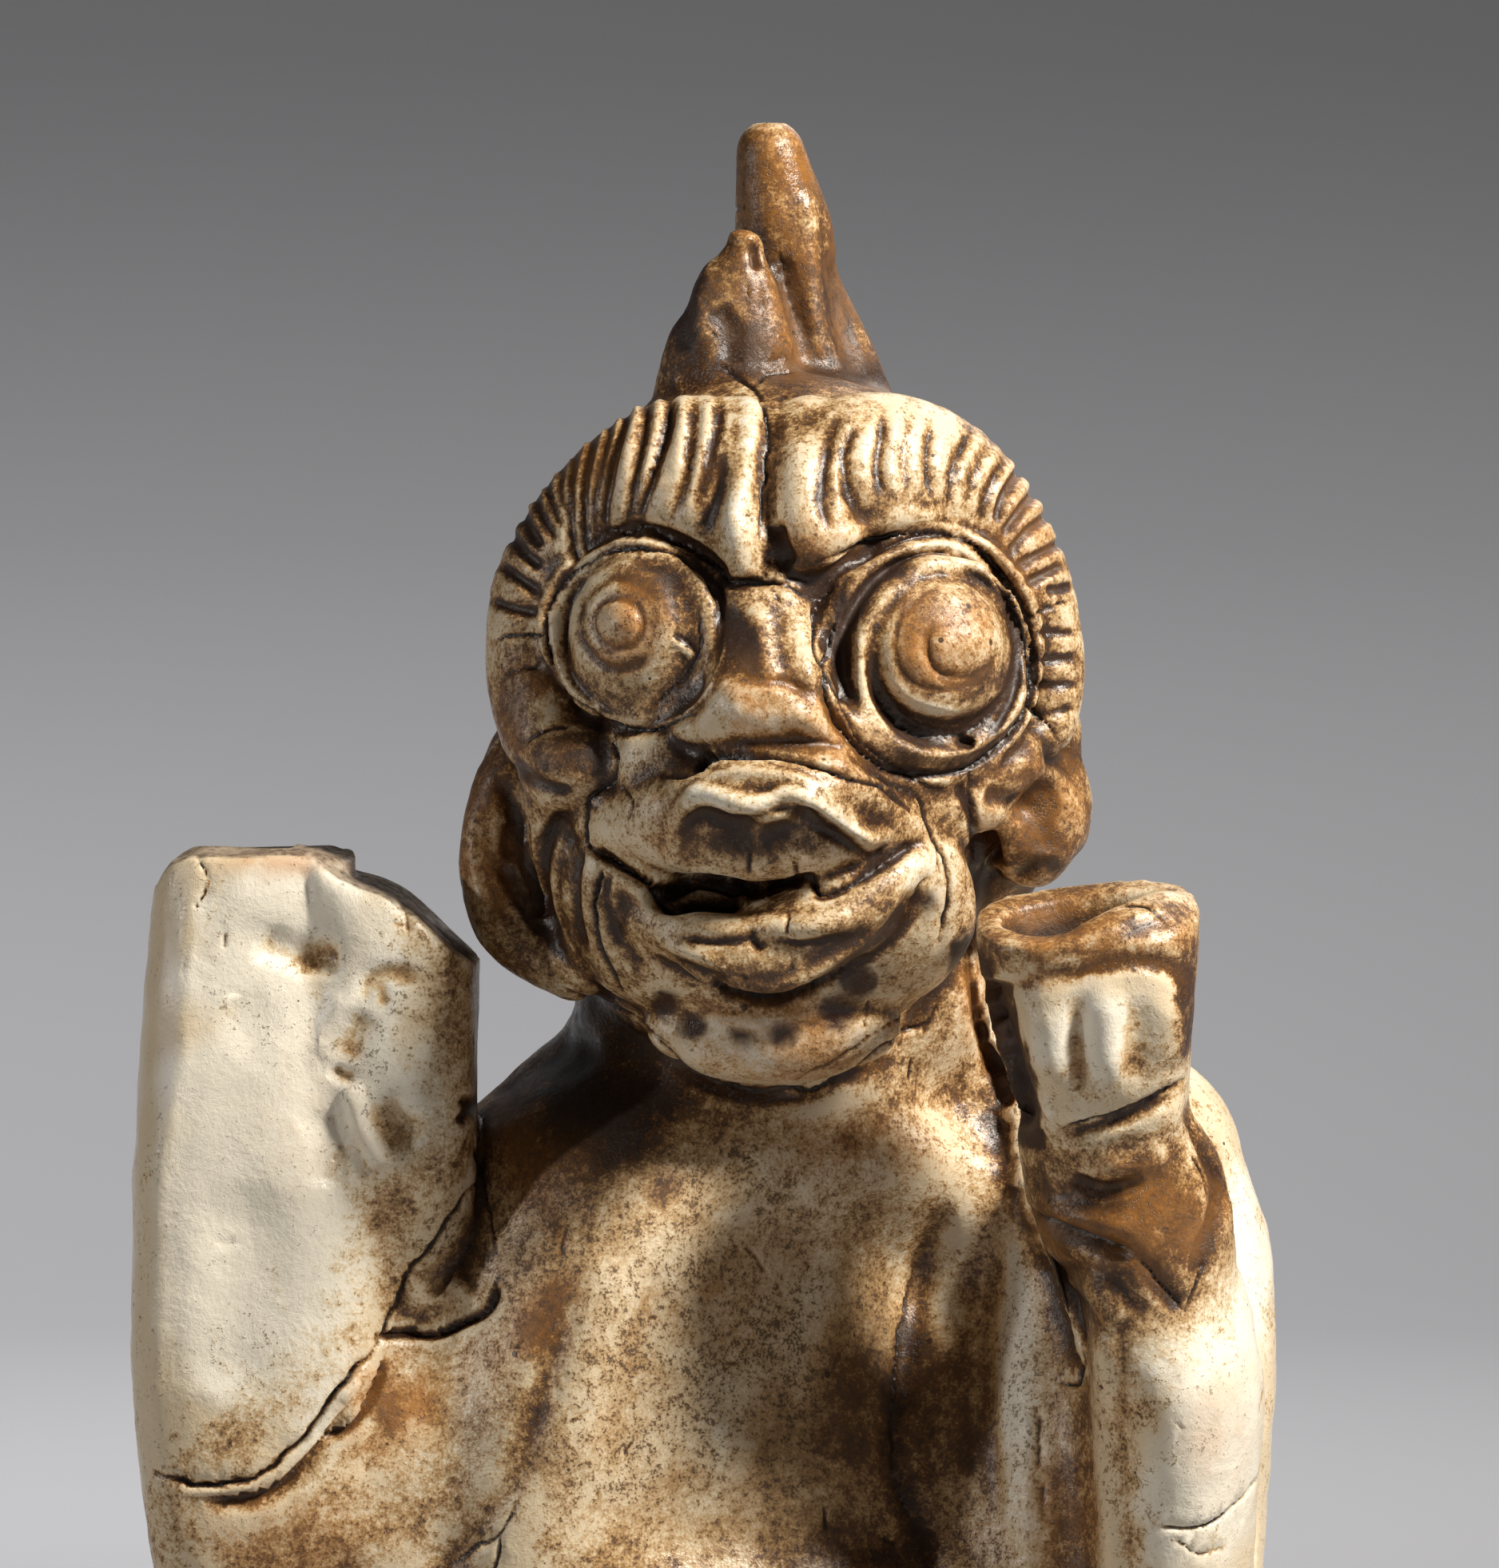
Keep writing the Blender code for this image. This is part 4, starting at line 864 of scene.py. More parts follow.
def carveArm(skin):
    # the slab's broken corner, then the step down to the thinner clay, thumbed smooth
    x, z = skin.at[:, 0], skin.at[:, 2]
    brokenEdge = [(-80, 218), (-79.4, 221.6), (-77.4, 224.9), (-73.7, 226.8), (-63.8, 227.6),
                  (-56.4, 227.4), (-53.5, 226.4), (-50.9, 225.7), (-47.2, 223.8), (-43.5, 222),
                  (-39.8, 219.6), (-36.2, 215.8), (-34.3, 213.1)]
    limit = np.interp(x, *zip(*brokenEdge)) + 0.5 * randomField(skin.at, 2.5, 21)
    skin.at[:, 2] += 2 * bell((x + 45) / 9) * np.clip((z - 208) / 6, 0, 1) * (skin.at[:, 1] < 16)
    z = skin.at[:, 2]
    skin.at[:, 2] = np.where((x < -38.6) & (z > 205) & (skin.at[:, 1] < 16), np.minimum(z, limit), z)
    skin.update()
    skin.soften(-60, 227, 24, 4.5, 16)
    skin.soften(-42, 219, 10, 7, 16)
    skin.soften(-50, 205, 9, 26, 160)
    skin.soften(-48, 186, 10, 18, 90)
    skin.soften(-42, 166, 12, 14, 30)
    skin.soften(-63, 180, 22, 60, 10)
    skin.press([(-70, 222), (-62, 220), (-54, 220.6)], 6, -0.6)
    skin.press([(-65, 215.4), (-61.6, 213.9), (-58.3, 212.8), (-52, 213)], 3.8, 1.2, paint="stain",
               amount=0.12)
    skin.press([(-41, 209.6), (-45.4, 210.6), (-48.4, 209.8), (-49, 207.6), (-47.6, 206.4)], 2.2, 0.9,
               fade=0.3, paint="stain", amount=0.3)
    skin.press([(-47, 208.4), (-46.8, 207)], 1.4, 0.5, fade=0, paint="umber", amount=0.6)
    skin.press([(-48.6, 206), (-51, 202), (-53, 197.6)], 4, 0.9, fade=0.3, paint="stain", amount=0.1)
    skin.press([(-51.6, 208), (-54.2, 202.6), (-56, 198)], 3, -0.8)
    skin.press([(-54, 197.6), (-52.8, 196.2), (-50.6, 196)], 1.6, 0.8, fade=0.2, paint="stain", amount=0.5)
    skin.press([(-51.6, 195.4), (-49.8, 189.9), (-46.9, 183.3)], 2.2, -1.2, fade=0.1)
    skin.press([(-48.6, 193.6), (-45.6, 189.6), (-41.6, 186)], 5, 1.9, fade=0.35, paint="stain", amount=0.22)
    skin.press([(-55.6, 192), (-54, 186), (-55, 180)], 4, 0.9, paint="stain", amount=0.15)
    edge = [(-73.4, 226), (-73.8, 215.8), (-75.2, 201), (-76.7, 189.9), (-78.2, 177), (-78.9, 165),
            (-78.9, 155), (-78.3, 146)]
    skin.press([(x + 0.6 * math.sin(z / 5), z) for x, z in edge], 2.6, -0.4, fade=0.1)
    skin.press([(-70, 182), (-66, 172), (-67, 160), (-70, 150)], 9, 1.0)
    skin.press([(-60.6, 205), (-61.7, 190), (-58, 176)], 8, -0.6)
    skin.press([(-68, 208), (-66, 203), (-63, 200)], 5, 0.5, paint="stain", amount=0.12)
    skin.split([(-79.1, 140.4), (-76.1, 139.6), (-73.3, 138.9), (-70.6, 139.1), (-67.8, 139.3),
                (-64.4, 140.4), (-61.7, 142.4), (-57.8, 146), (-55.6, 148.8), (-52.2, 153.2),
                (-50.6, 155.4), (-47.8, 158.2)], 0.7, 1.9, wander=0.4, seed=50)
    skin.split([(-47.8, 158.2), (-45.6, 163.2), (-43.9, 167.7), (-42.2, 169.9), (-39.4, 173.2),
                (-36.7, 177.7), (-34.4, 180.4)], 0.5, 1.2, wander=0.4, seed=51)
    skin.press([(-73, 137.4), (-64, 138.4), (-57.8, 143), (-51.6, 151)], 3.6, 1.3, side=-1, paint="stain",
               amount=0.2)
    skin.press([(-47.6, 159.9), (-44.4, 160.5), (-40, 160.1), (-36.7, 161.7), (-33.3, 163.6), (-31.6, 167)],
               2, 2, fade=0.1, side=-1, paint="stain", amount=0.9)
    skin.press([(-45, 165), (-39.6, 164.4), (-35, 167.4)], 3.6, -1.3)
    skin.press([(-56.4, 146), (-51.4, 147.6), (-49, 151.6), (-47, 156.6)], 1.8, 1.4, side=-1, paint="stain",
               amount=0.8)
    skin.press([(-53, 150.6), (-50.8, 154)], 1.8, -0.6)
    skin.split([(-34.6, 185.6), (-33.4, 180), (-32, 175), (-31, 170.6)], 0.3, 0.5, seed=52, amount=0.8)
    skin.split([(-73, 227), (-71.4, 223.4), (-73.4, 219)], 0.35, 0.8, seed=53, amount=0.9)
    skin.press([(-43.8, 222), (-39.6, 218.6), (-36.4, 214)], 1.1, 0.6, paint="umber", amount=1)
    skin.split([(-47, 223), (-44, 219.6), (-43, 216)], 0.3, 0.5, seed=54, amount=0.7)
    skin.press([(-36, 193), (-35, 191), (-36.6, 189)], 1.4, 0.8, paint="stain", amount=0.5)


def carveHand(skin):
    # the rolled rim, three fingers pressed into the fist, and its flat cut side
    skin.soften(50, 219, 16, 6, 12)
    skin.press([(38.4, 212), (39.6, 203), (41.6, 194)], 5, 1.8, fade=0.1)
    skin.press([(35.7, 217.2), (40.6, 216.2), (48.8, 217), (54.1, 219.2), (59.9, 221), (64, 217.8)], 1.6,
               -0.5)
    skin.press([(37, 213.4), (41, 212), (47.6, 212.6), (55.6, 214.6), (61.1, 213.6), (65, 210)], 2.4, 0.8,
               paint="ochre", amount=0.6)
    skin.press([(45, 210.4), (45, 204), (46.2, 195)], 3.2, -1.2, fade=0.3)
    skin.press([(52.6, 211.8), (52.6, 204), (53, 197)], 3.4, -1.3, fade=0.3)
    skin.press([(61.8, 210), (61.8, 204), (62, 199)], 3, -1.1, fade=0.3)
    skin.press([(48.8, 211), (48.6, 204), (49.4, 196)], 2, 0.6, fade=0.3, paint="ochre", amount=0.5)
    skin.press([(57, 210.6), (56.8, 205), (57.4, 197)], 2.7, 0.9, fade=0.3, paint="tone", amount=0.75)
    skin.press([(55.4, 208), (55, 203), (55.6, 197)], 1.4, 0.2, fade=0.3, paint="stain", amount=0.35)
    skin.press([(37.6, 212), (38.6, 203), (41, 195), (43, 190)], 3.4, 2, fade=0.1, paint="umber", amount=1)
    skin.press([(40.4, 211.6), (42.4, 206), (43, 200), (45, 194), (45, 190)], 1.3, -0.6, fade=0.1)
    skin.split([(46.3, 190.7), (49.6, 192.1), (54.1, 193.3), (57.4, 194.6), (59.9, 195.8), (63.6, 197.8)],
               0.55, 1.2, seed=60)
    skin.press([(45.6, 190), (50, 190.8), (55, 192.6), (59, 194.4), (63, 196.6)], 1.9, 1.3, paint="stain",
               amount=0.5)
    skin.split([(55, 221.6), (58, 222), (60.4, 220)], 0.35, 0.5, seed=64)
    # the wrist bulges over the sleeve's mouth
    skin.press([(50, 187.4), (56, 186), (62, 189)], 3, -0.8)
    skin.press([(47.6, 184), (53, 182.4), (58.6, 184.4)], 1.9, 1.1, paint="umber", amount=0.6)
    skin.press([(45, 180), (51, 178.6), (58, 177.6)], 2.4, -0.8)
    skin.press([(43, 180), (47, 178.4), (52, 177.4), (56.6, 176.2)], 2.6, -0.8, paint="stain", amount=0.6)
    skin.press([(43, 178), (46.6, 176.2), (51.7, 174.8), (57.4, 173.4)], 2, 1.6, fade=0.2, paint="stain",
               amount=0.6)
    skin.split([(43, 178.9), (46.6, 177), (51.7, 175.6), (57.4, 174)], 0.5, 1.0, seed=65)
    skin.press([(64, 196.2), (65.6, 191.2), (68.9, 183), (68.1, 177.7), (66.4, 173.6), (65.2, 168.7)], 2.2,
               1.1, fade=0.2, paint="stain", amount=0.45)
    skin.press([(57.4, 173.2), (60.6, 169), (63.6, 165.6)], 2.2, 0.6, fade=0.2, paint="stain", amount=0.25)
    skin.split([(57.4, 173.4), (60.6, 169.2), (63.6, 165.8)], 0.4, 0.7, seed=66, halo=0.15)
    skin.split([(64.2, 166), (65.4, 169), (66.6, 173)], 0.3, 0.5, seed=68, amount=0.7, halo=0.15)
    skin.press([(69.6, 190), (73, 182), (75.6, 172)], 3, -0.6)
    skin.press([(48, 170), (52.6, 167.6), (56, 163)], 3, -1.1)
    skin.split([(60, 135.4), (66.7, 135.4), (72.2, 138.2), (75.6, 141.6)], 0.45, 0.9, seed=61)
    skin.split([(47.2, 153.2), (50, 152.9), (50.9, 157.1), (51.3, 160.4)], 0.4, 0.7, seed=62, amount=0.9)
    skin.split([(62.6, 133.8), (66, 131.4), (69.6, 131.8)], 0.35, 0.6, seed=63, amount=0.8)
    skin.split([(64.6, 187.4), (66.4, 184), (67.4, 180.6)], 0.3, 0.5, seed=67, amount=0.7)


def carveTrunk(skin):
    # the chest is one sheet, hollowed between the fist, the forearm and the raised arm
    skin.soften(46, 150, 14, 34, 40)
    skin.soften(6, 186, 34, 14, 30)
    skin.level(6, 146, 42, 40)
    skin.soften(22, 148, 25, 38, 40)
    skin.update()
    skin.press([(28, 190), (18, 164), (10, 146), (5, 126), (4, 106)], 37, 15, fade=0.3, front=True)
    skin.press([(36, 184), (32, 162), (30, 144), (30, 110)], 20, 9, fade=0.3, front=True)
    skin.press([(61, 168), (62, 150), (62, 128), (61, 106)], 19, -7, fade=0.25, front=True)
    skin.soften(45, 142, 9, 34, 60)
    skin.update()
    skin.press([(46.7, 172.7), (47.2, 157.1), (47.8, 140.4), (48.9, 122)], 6, 2.6, fade=0.1, paint="stain",
               amount=0.15)
    skin.press([(53.2, 165), (53.6, 150), (54.4, 136), (54.8, 122)], 2.4, -1.1, fade=0.1)
    skin.press([(32.2, 181.6), (27.8, 163.8), (25.6, 151.6), (24.4, 140.4), (28.9, 128), (31, 112)], 3.4,
               0.8, paint="stain", amount=0.08)
    skin.press([(36.6, 181), (33, 166), (31.6, 150), (32.6, 134)], 4, -0.8)
    skin.press([(40.6, 176), (38.4, 160), (38, 144), (39, 130)], 2.4, 0.6, paint="stain", amount=0.1)
    skin.press([(-20, 168.2), (-23.3, 157.1), (-27.8, 142.7), (-32.2, 134.9), (-37.8, 128), (-41, 118)],
               3.4, 0.7, paint="stain", amount=0.08)
    skin.press([(-14, 172), (-18, 156), (-22, 140)], 6, -0.7)
    skin.press([(0, 176), (6, 160), (10, 140)], 10, 0.8)
    skin.split([(-36.8, 128), (-33.6, 130.8), (-30.6, 132.6), (-28, 137)], 0.45, 0.8, seed=70)
    skin.split([(-30.4, 132.6), (-31, 129), (-33, 125)], 0.4, 0.7, seed=78)
    skin.split([(27.6, 168), (25.4, 158), (24.2, 147), (24.6, 138), (27.4, 131)], 0.3, 0.5, seed=71,
               amount=0.8)
    skin.split([(2.8, 172.6), (5, 170), (6.2, 167.6)], 0.25, 0.4, seed=72, amount=0.7)
    skin.split([(44.4, 150), (44.6, 142), (45.4, 133)], 0.35, 0.6, seed=73, amount=0.8)
    skin.press([(-33.6, 190), (-24, 196), (-16, 200)], 4, 0.8)
    # the kneeling legs below: folds at the groin, thighs and knees
    for s in (-1, 1):
        skin.press([(s * 10, 74), (s * 22, 66), (s * 34, 50), (s * 38, 38)], 4, 1.4, paint="stain",
                   amount=0.4)
        skin.press([(s * 30, 30), (s * 44, 25), (s * 60, 28)], 4, 1.6, paint="stain", amount=0.4)
    skin.press([(0, 62), (0, 50), (0, 36)], 4, 1.4, paint="stain", amount=0.4)
    skin.split([(-30, 96), (-18, 91), (-4, 92), (10, 89), (24, 93)], 0.5, 0.8, seed=74, amount=0.8)
    skin.split([(52, 88), (55, 76), (60, 66)], 0.5, 0.8, seed=75, amount=0.8)
    skin.split([(-24, 19), (-20, 12), (-22, 4)], 0.5, 0.8, seed=76, amount=0.8)
    skin.split([(34, 20), (36, 11), (33, 3)], 0.5, 0.8, seed=77, amount=0.8)


def addHairCracks(skin):
    # short fine cracks scattered where the clay dried fast
    chance = np.random.default_rng(7)
    areas = [((-30, 30), (130, 185), 12), ((-76, -40), (140, 222), 8), ((56, 76), (130, 165), 6),
             ((-6, 30), (196, 216), 6), ((-28, 46), (228, 290), 12), ((-50, 50), (24, 110), 14),
             ((-4, 14), (294, 326), 5)]
    for (x0, x1), (z0, z1), count in areas:
        for k in range(count):
            x, z = chance.uniform(x0, x1), chance.uniform(z0, z1)
            angle, length = chance.uniform(-2, 2), chance.uniform(1.6, 5)
            dx, dz = length * math.sin(angle) * 0.6, -length * abs(math.cos(angle))
            skin.split([(x, z), (x + dx * 0.5, z + dz * 0.4), (x + dx, z + dz)], 0.26, 0.35,
                       seed=int(x0 + 90 + k), amount=chance.uniform(0.45, 0.8), halo=0.12)


# colour laid on: x, z, half across, half up, strength and turn, seen from the front
brushWork = {
    "ochre": [(7, 322, 12, 16, 0.9), (12, 306, 12, 16, 0.7), (-12.8, 260, 7, 8, 0.95),
              (30, 257, 9, 9, 0.95), (4, 249, 8, 9, 0.75), (14, 244, 9, 6, 0.55, -30),
              (44, 233, 9, 10, 0.85), (-33, 226, 7, 16, 0.8), (-14, 281, 16, 10, 0.35),
              (14, 272, 7, 5, 0.5), (42, 272, 7, 12, 0.45), (-26, 250, 7, 16, 0.5), (57, 179, 15, 11, 0.95),
              (50, 218, 16, 5, 0.95), (37, 204, 4, 12, 0.7), (-46, 149, 9, 12, 0.75), (-24, 182, 9, 9, 0.6),
              (-24.4, 163, 4, 8, 0.95, -30), (-58, 226, 16, 2.4, 0.8), (-30, 187, 5, 6, 0.9),
              (69, 148, 8, 14, 0.35), (20, 187, 16, 8, 0.35), (-56, 190, 10, 14, 0.22),
              (48, 132, 6, 20, 0.55), (8, 202, 20, 9, 0.5), (-10, 230, 8, 6, 0.2),
              (-1.1, 166, 1.4, 1.6, 0.9), (-60, 132, 22, 8, 0.35)],
    # in the umber rows, the three at x -26 to -27 down the left temple are painted shade, and (-16, 189)
    # under the chin's left side is dark glaze deepened with painted shade
    "umber": [(-21.5, 241.5, 8, 7, 0.9), (-27, 262, 5, 14, 0.5), (-9, 266, 7, 5, 0.5),
              (28, 262, 9, 5, 0.45), (36, 250, 6, 5, 0.4), (44, 238, 8, 5, 0.5), (47, 226, 6, 5, 0.6),
              (-36, 232, 4, 10, 0.5), (0.5, 282, 4, 7, 0.45), (-30, 214, 7, 6, 0.5),
              (16, 302, 4, 12, 0.7, 12), (3, 323, 4, 8, 0.45), (4, 299, 3.6, 4, 0.55),
              (-26, 275, 6, 14, 0.5), (-27, 250, 6, 14, 0.45), (4.2, 257, 3, 6, 0.85),
              (18.5, 262, 5, 5, 0.85), (27, 243, 9, 4, 0.5), (20, 219, 8, 7, 0.6, 40), (5, 208, 9, 2, 0.6),
              (8, 229, 10, 3.2, 0.4), (43, 229, 5, 7, 0.5), (-30, 222, 6, 10, 0.5), (-33, 236, 4, 6, 0.45),
              (-16, 189, 12, 8, 0.75), (-24.4, 163, 3.2, 7.4, 0.8, -30), (-8, 180, 3.4, 3.4, 0.8),
              (52, 181, 6, 3, 0.45), (58, 185.6, 4, 2, 0.6), (64, 177, 3, 6, 0.5), (50, 176.4, 7, 2.2, 0.5),
              (61, 172, 3, 4, 0.4), (37.4, 215, 2.6, 6, 0.6), (46, 217, 5, 2.2, 0.4),
              (57, 219.6, 3, 2.6, 0.5), (-1, 211, 12, 2.2, 0.45), (42.4, 236.6, 3.4, 2.4, 0.6),
              (38, 240.6, 3, 1.6, 0.4), (-5, 303, 4, 10, 0.6), (-46.7, 148, 3.6, 7, 0.6),
              (-23, 184, 5, 5, 0.45), (12, 268, 4, 3, 0.7), (-42, 221, 3, 2, 0.5, -40),
              (46, 143, 4, 16, 0.35), (-52, 199, 3, 3, 0.25), (69, 133, 3, 3, 0.45), (64, 208, 3, 8, 0.5),
              (-3.9, 167.1, 1.6, 0.8, 0.7)],
    "tone": [(50, 219, 18, 7, 1.1), (64.5, 209, 4.6, 13, 1.1), (6, 247, 15, 6, 0.66),
             (33.4, 257.3, 4.4, 4.4, 0.8), (8, 243.6, 12, 3, 0.7), (1, 219, 13, 4, 0.85),
             (3, 232, 10, 4, 0.8), (20, 285, 14, 6, 0.55), (30.6, 257, 9, 8.4, 0.66), (6, 291, 16, 5, 0.66),
             (30, 281, 16, 9, 0.62), (45, 272, 6, 12, 0.72), (-13, 233, 10, 5, 0.5), (4, 222, 12, 5, 0.55),
             (-1, 212.4, 14, 3.4, 0.95), (15, 215, 7, 4, 0.9, 35), (42.4, 236.6, 4.6, 3.6, 0.95),
             (3, 258, 4.6, 7.5, 0.95), (8.6, 262, 5, 3, 0.7), (7, 252.6, 9, 2, 0.75),
             (-4, 250, 4.6, 3.4, 0.8), (17, 247, 5, 3, 0.7), (8, 242.4, 11, 3, 0.85),
             (10, 220.6, 9, 2.6, 0.75), (-5.4, 303, 5, 13, 1.0), (-2, 297, 9, 4, 0.8),
             (12, 233, 12, 3, 0.6), (-6, 228, 8, 3, 0.6), (56, 181, 14, 9, 1.2), (61.6, 205, 2.2, 8, 0.6),
             (-1, 215, 9, 3, 0.6), (57, 188, 8, 4, 0.8), (38, 215, 4.6, 4, 1), (2, 214, 10, 2.4, 0.85),
             (18, 216.4, 8, 3, 0.85, 35), (-24, 184, 8, 12, 0.7), (-45, 178, 7, 8, 0.4),
             (5, 211, 13, 4, 0.9), (20, 217, 7, 6, 0.85, 40), (-48, 150, 8, 6, 0.6),
             (-38, 222, 4, 5, 0.8, -40), (44, 238, 8, 10, 0.85), (46, 226, 7, 6, 0.9), (34, 186, 6, 8, 0.5),
             # painted shadow: the tone row at (20, 142) darkens the right chest where the fist and forearm
             # cast their shadow
             (20, 142, 28, 34, 1.0)],
    # in the white rows, (-1, 219) on the lower lip is a painted highlight
    "white": [(-63, 184, 16, 46, 0.95), (-49, 204, 9, 18, 0.6), (-44, 196, 6, 4, 0.5),
              (-60, 219, 14, 9, 0.9), (1.6, 306, 3.6, 6, 0.6), (51, 204, 9, 9, 0.85), (68, 148, 9, 22, 0.8),
              (74, 168, 7, 16, 0.8), (21, 281, 16, 9, 0.2), (-1, 219, 5, 3, 0.8), (-12, 231, 7, 5, 0.15),
              (18, 232, 7, 5, 0.15), (30, 262, 12, 5, 0.35), (60, 160, 5, 7, 0.6), (-40, 148, 8, 12, 0.4),
              (44, 190, 3, 7, 0.55), (6, 278, 3, 8, 0.3), (34, 243, 6, 5, 0.4), (-36, 160, 8, 10, 0.15),
              (62, 138, 6, 14, 0.6), (14, 148, 34, 38, 0.4), (42, 150, 7, 30, 0.7), (-45, 200, 10, 22, 0.8),
              (28, 226, 6, 8, 0.35), (8, 201.6, 19, 6, 0.5), (51, 191, 6, 4, 0.2), (46, 184, 3, 4, 0.2),
              (62, 183, 3, 4, 0.2)],
    "dirt": [(0, 160, 34, 40, 0.9), (-26, 172, 12, 14, 0.7), (14, 214, 16, 10, 0.3), (-10, 238, 10, 6, 0.5),
             (-12, 258, 10, 11, 0.5), (-64, 205, 8, 7, 0.5), (-67, 158, 8, 8, 0.5), (-45, 206, 9, 14, 0.55),
             (-37.5, 171, 7, 10, 0.7), (4, 228, 12, 5, 0.7), (4, 300, 12, 9, 0.5), (44, 234, 8, 9, 0.6),
             (58, 150, 14, 24, 0.35), (40, 150, 12, 30, 0.6), (-50, 195, 6, 8, 0.5)],
    "bare": [(-28, 221, 3, 6, 0.3)],
    "wet": [(-78, 190, 5, 44, 1), (-20, 196, 10, 10, 0.8), (-31, 187, 4, 5, 1), (-30, 226, 6, 14, 0.5),
            (46, 232, 7, 9, 0.5), (57, 182, 12, 8, 0.5), (8, 320, 8, 14, 0.4), (-18, 232, 6, 6, 0.4)],
}


# how far the iron wash soaked in, zone by zone: x, y, z and depth
washZones = [(9, -30, 262, 0.72), (-25, -15, 262, 0.74), (-18, -40, 236, 0.6), (4, -50, 236, 0.66),
             (20, -45, 225, 0.6), (4, -45, 204, 0.5), (30, -30, 282, 0.7), (-10, -30, 284, 0.6),
             (44, -25, 262, 0.66), (-34, 0, 228, 0.9), (-24, -20, 214, 0.86), (46, -10, 234, 0.9),
             # the zone at (-16, -5, 190) is dark glaze on the neck's left side, deepened with painted shade
             # under the head
             (12, 0, 318, 1.15), (16, 0, 300, 1.15), (-2, -12, 304, 1.15), (-16, -5, 190, 1.3),
             (22, -15, 188, 0.5), (0, -30, 168, 0.5), (-24, -24, 178, 0.68), (28, -15, 150, 0.42),
             (-6, -40, 140, 0.46), (-44, 0, 204, 0.1), (-62, -10, 214, 0.06), (-64, -10, 190, 0.02),
             (-66, -10, 160, 0.04), (-44, -16, 150, 0.55), (-60, -16, 130, 0.5), (55, -45, 180, 1.15),
             (51, -49, 204, 0.22), (67, -30, 155, 0.05), (45, -30, 145, 0.4), (72, -10, 178, 0.2),
             (0, -30, 90, 0.5), (-40, -40, 40, 0.35), (40, -40, 40, 0.4), (0, 0, 6, 0.6),
             (10, 30, 250, 0.6), (0, 30, 190, 0.5), (-20, 30, 130, 0.35), (20, 30, 90, 0.5),
             (0, 40, 40, 0.4), (-60, 20, 180, 0.2), (66, 20, 150, 0.3)]


# the brown dots on the chin: x, z, half across, half up
chinDots = [(-7.6, 207.1, 2, 2.1), (-3.8, 203.8, 2.2, 2), (3.1, 202.5, 1.7, 1.5), (9, 202.7, 2.3, 2),
            (16.3, 205.9, 2.5, 2.8), (19.3, 210.3, 2.9, 2.5), (28.2, 221.6, 1.9, 1.6)]


def soakWash(skin):
    reach = 15                                               # how far each zone of the wash spreads
    total = np.zeros(skin.count)
    share = np.full(skin.count, 1e-9)
    for x, y, z, depth in washZones:
        weight = np.exp(-((skin.at - (x, y, z)) ** 2).sum(1) / reach ** 2) + 1e-7
        total += weight * depth
        share += weight
    skin.paint["tone"] = np.maximum(skin.paint["tone"] * 0.6, total / share)


def dotChin(skin):
    for x, z, across, up in chinDots:
        far = np.hypot((skin.at[:, 0] - x) / across, (skin.at[:, 2] - z) / up)
        close = np.nonzero((far < 1.3) & (skin.at[:, 1] < -20))[0]
        edge = far[close] + 0.12 * randomField(skin.at[close], 1.2, 88)
        skin.mark("dot", close, np.clip((1.08 - edge) / 0.2, 0, 1))


def stainAndShadeFist(skin):
    # the flat cut side is the strip from x 32 to this edge, given as z and x; the rim is rolled over
    cutEdge = [(188, 45), (191.2, 44.3), (197.8, 43.4), (203.6, 41.4), (206.9, 40.6), (211, 38.1),
               (216, 35.4)]
    x, y, z = skin.at.T
    edge = np.interp(z, *zip(*cutEdge)) + 0.5 * randomField(skin.at, 2, 87)
    strip = (x > 32) & (x < edge) & (z > 188) & (z < 215.5)
    flat = np.nonzero(strip & (y < -30) & (skin.out[:, 1] < 0.3))[0]
    rolled = (x > 33) & (y < -28) & (z > 213 + 0.8 * randomField(skin.at, 3, 89))
    skin.mark("tone", np.nonzero(rolled)[0], 0.86)
    # the flat cut side is dark bare clay, made darker still with painted shade: full umber and tone, and the
    # dots' near-black
    for name, depth in (("umber", 1), ("tone", 1.2), ("dot", 0.55)):
        skin.mark(name, flat, depth)
    skin.paint["white"][flat] = 0


def markBreaksAndSocket(skin):
    # the two breaks and the foot carry no glaze, and the fist's socket is dark inside
    x, y, z = skin.at.T
    up = skin.out[:, 2]
    broken = (x < -30) & (y < 16) & (z > 205) & (up > 0.72) & (skin.out[:, 1] > -0.5)
    skin.mark("bare", np.nonzero(broken)[0], 0.9)
    foot = np.nonzero(z < 4)[0]
    skin.mark("bare", foot, np.clip((4 - z[foot]) / 2.5 + 0.4 * randomField(skin.at[foot], 6, 81), 0, 1))
    socket = (np.hypot(x - 50.5, y + 48.5) < 11.5) & (z > 203) & (z < 219) & (up > -0.3)
    skin.mark("umber", np.nonzero(socket)[0], 0.6)


def stainUnseenSides(skin):
    # the same dirt and wash, laid on at random
    hidden = 1 - skin.facing * skin.seen
    low = np.clip((122 - skin.at[:, 2]) / 25, 0, 1)
    other = np.maximum(hidden, low)
    everywhere = np.arange(skin.count)
    for name, size, gain, lift, seed in (("ochre", 22, 0.9, -0.05, 82), ("dirt", 30, 0.6, 0.3, 83),
                                         ("white", 30, 0.9, 0.05, 84), ("umber", 17, 1.1, -0.45, 85),
                                         ("wet", 26, 0.6, 0, 86)):
        patches = randomField(skin.at, size, seed) * gain + lift
        skin.mark(name, everywhere, other * np.clip(patches, 0, 0.75))


def brushColour(skin):
    soakWash(skin)
    for name, rows in brushWork.items():
        for row in rows:
            skin.wash(name, *row)
    dotChin(skin)
    stainAndShadeFist(skin)
    markBreaksAndSocket(skin)
    stainUnseenSides(skin)


def measureHollows(skin):
    # how far each point lies under its smoothed surroundings, close by and further off
    close = skin.spread(skin.at, 5)
    wide = skin.spread(close, 40)
    return [((smooth - skin.at) * skin.out).sum(1) for smooth in (close, wide)]


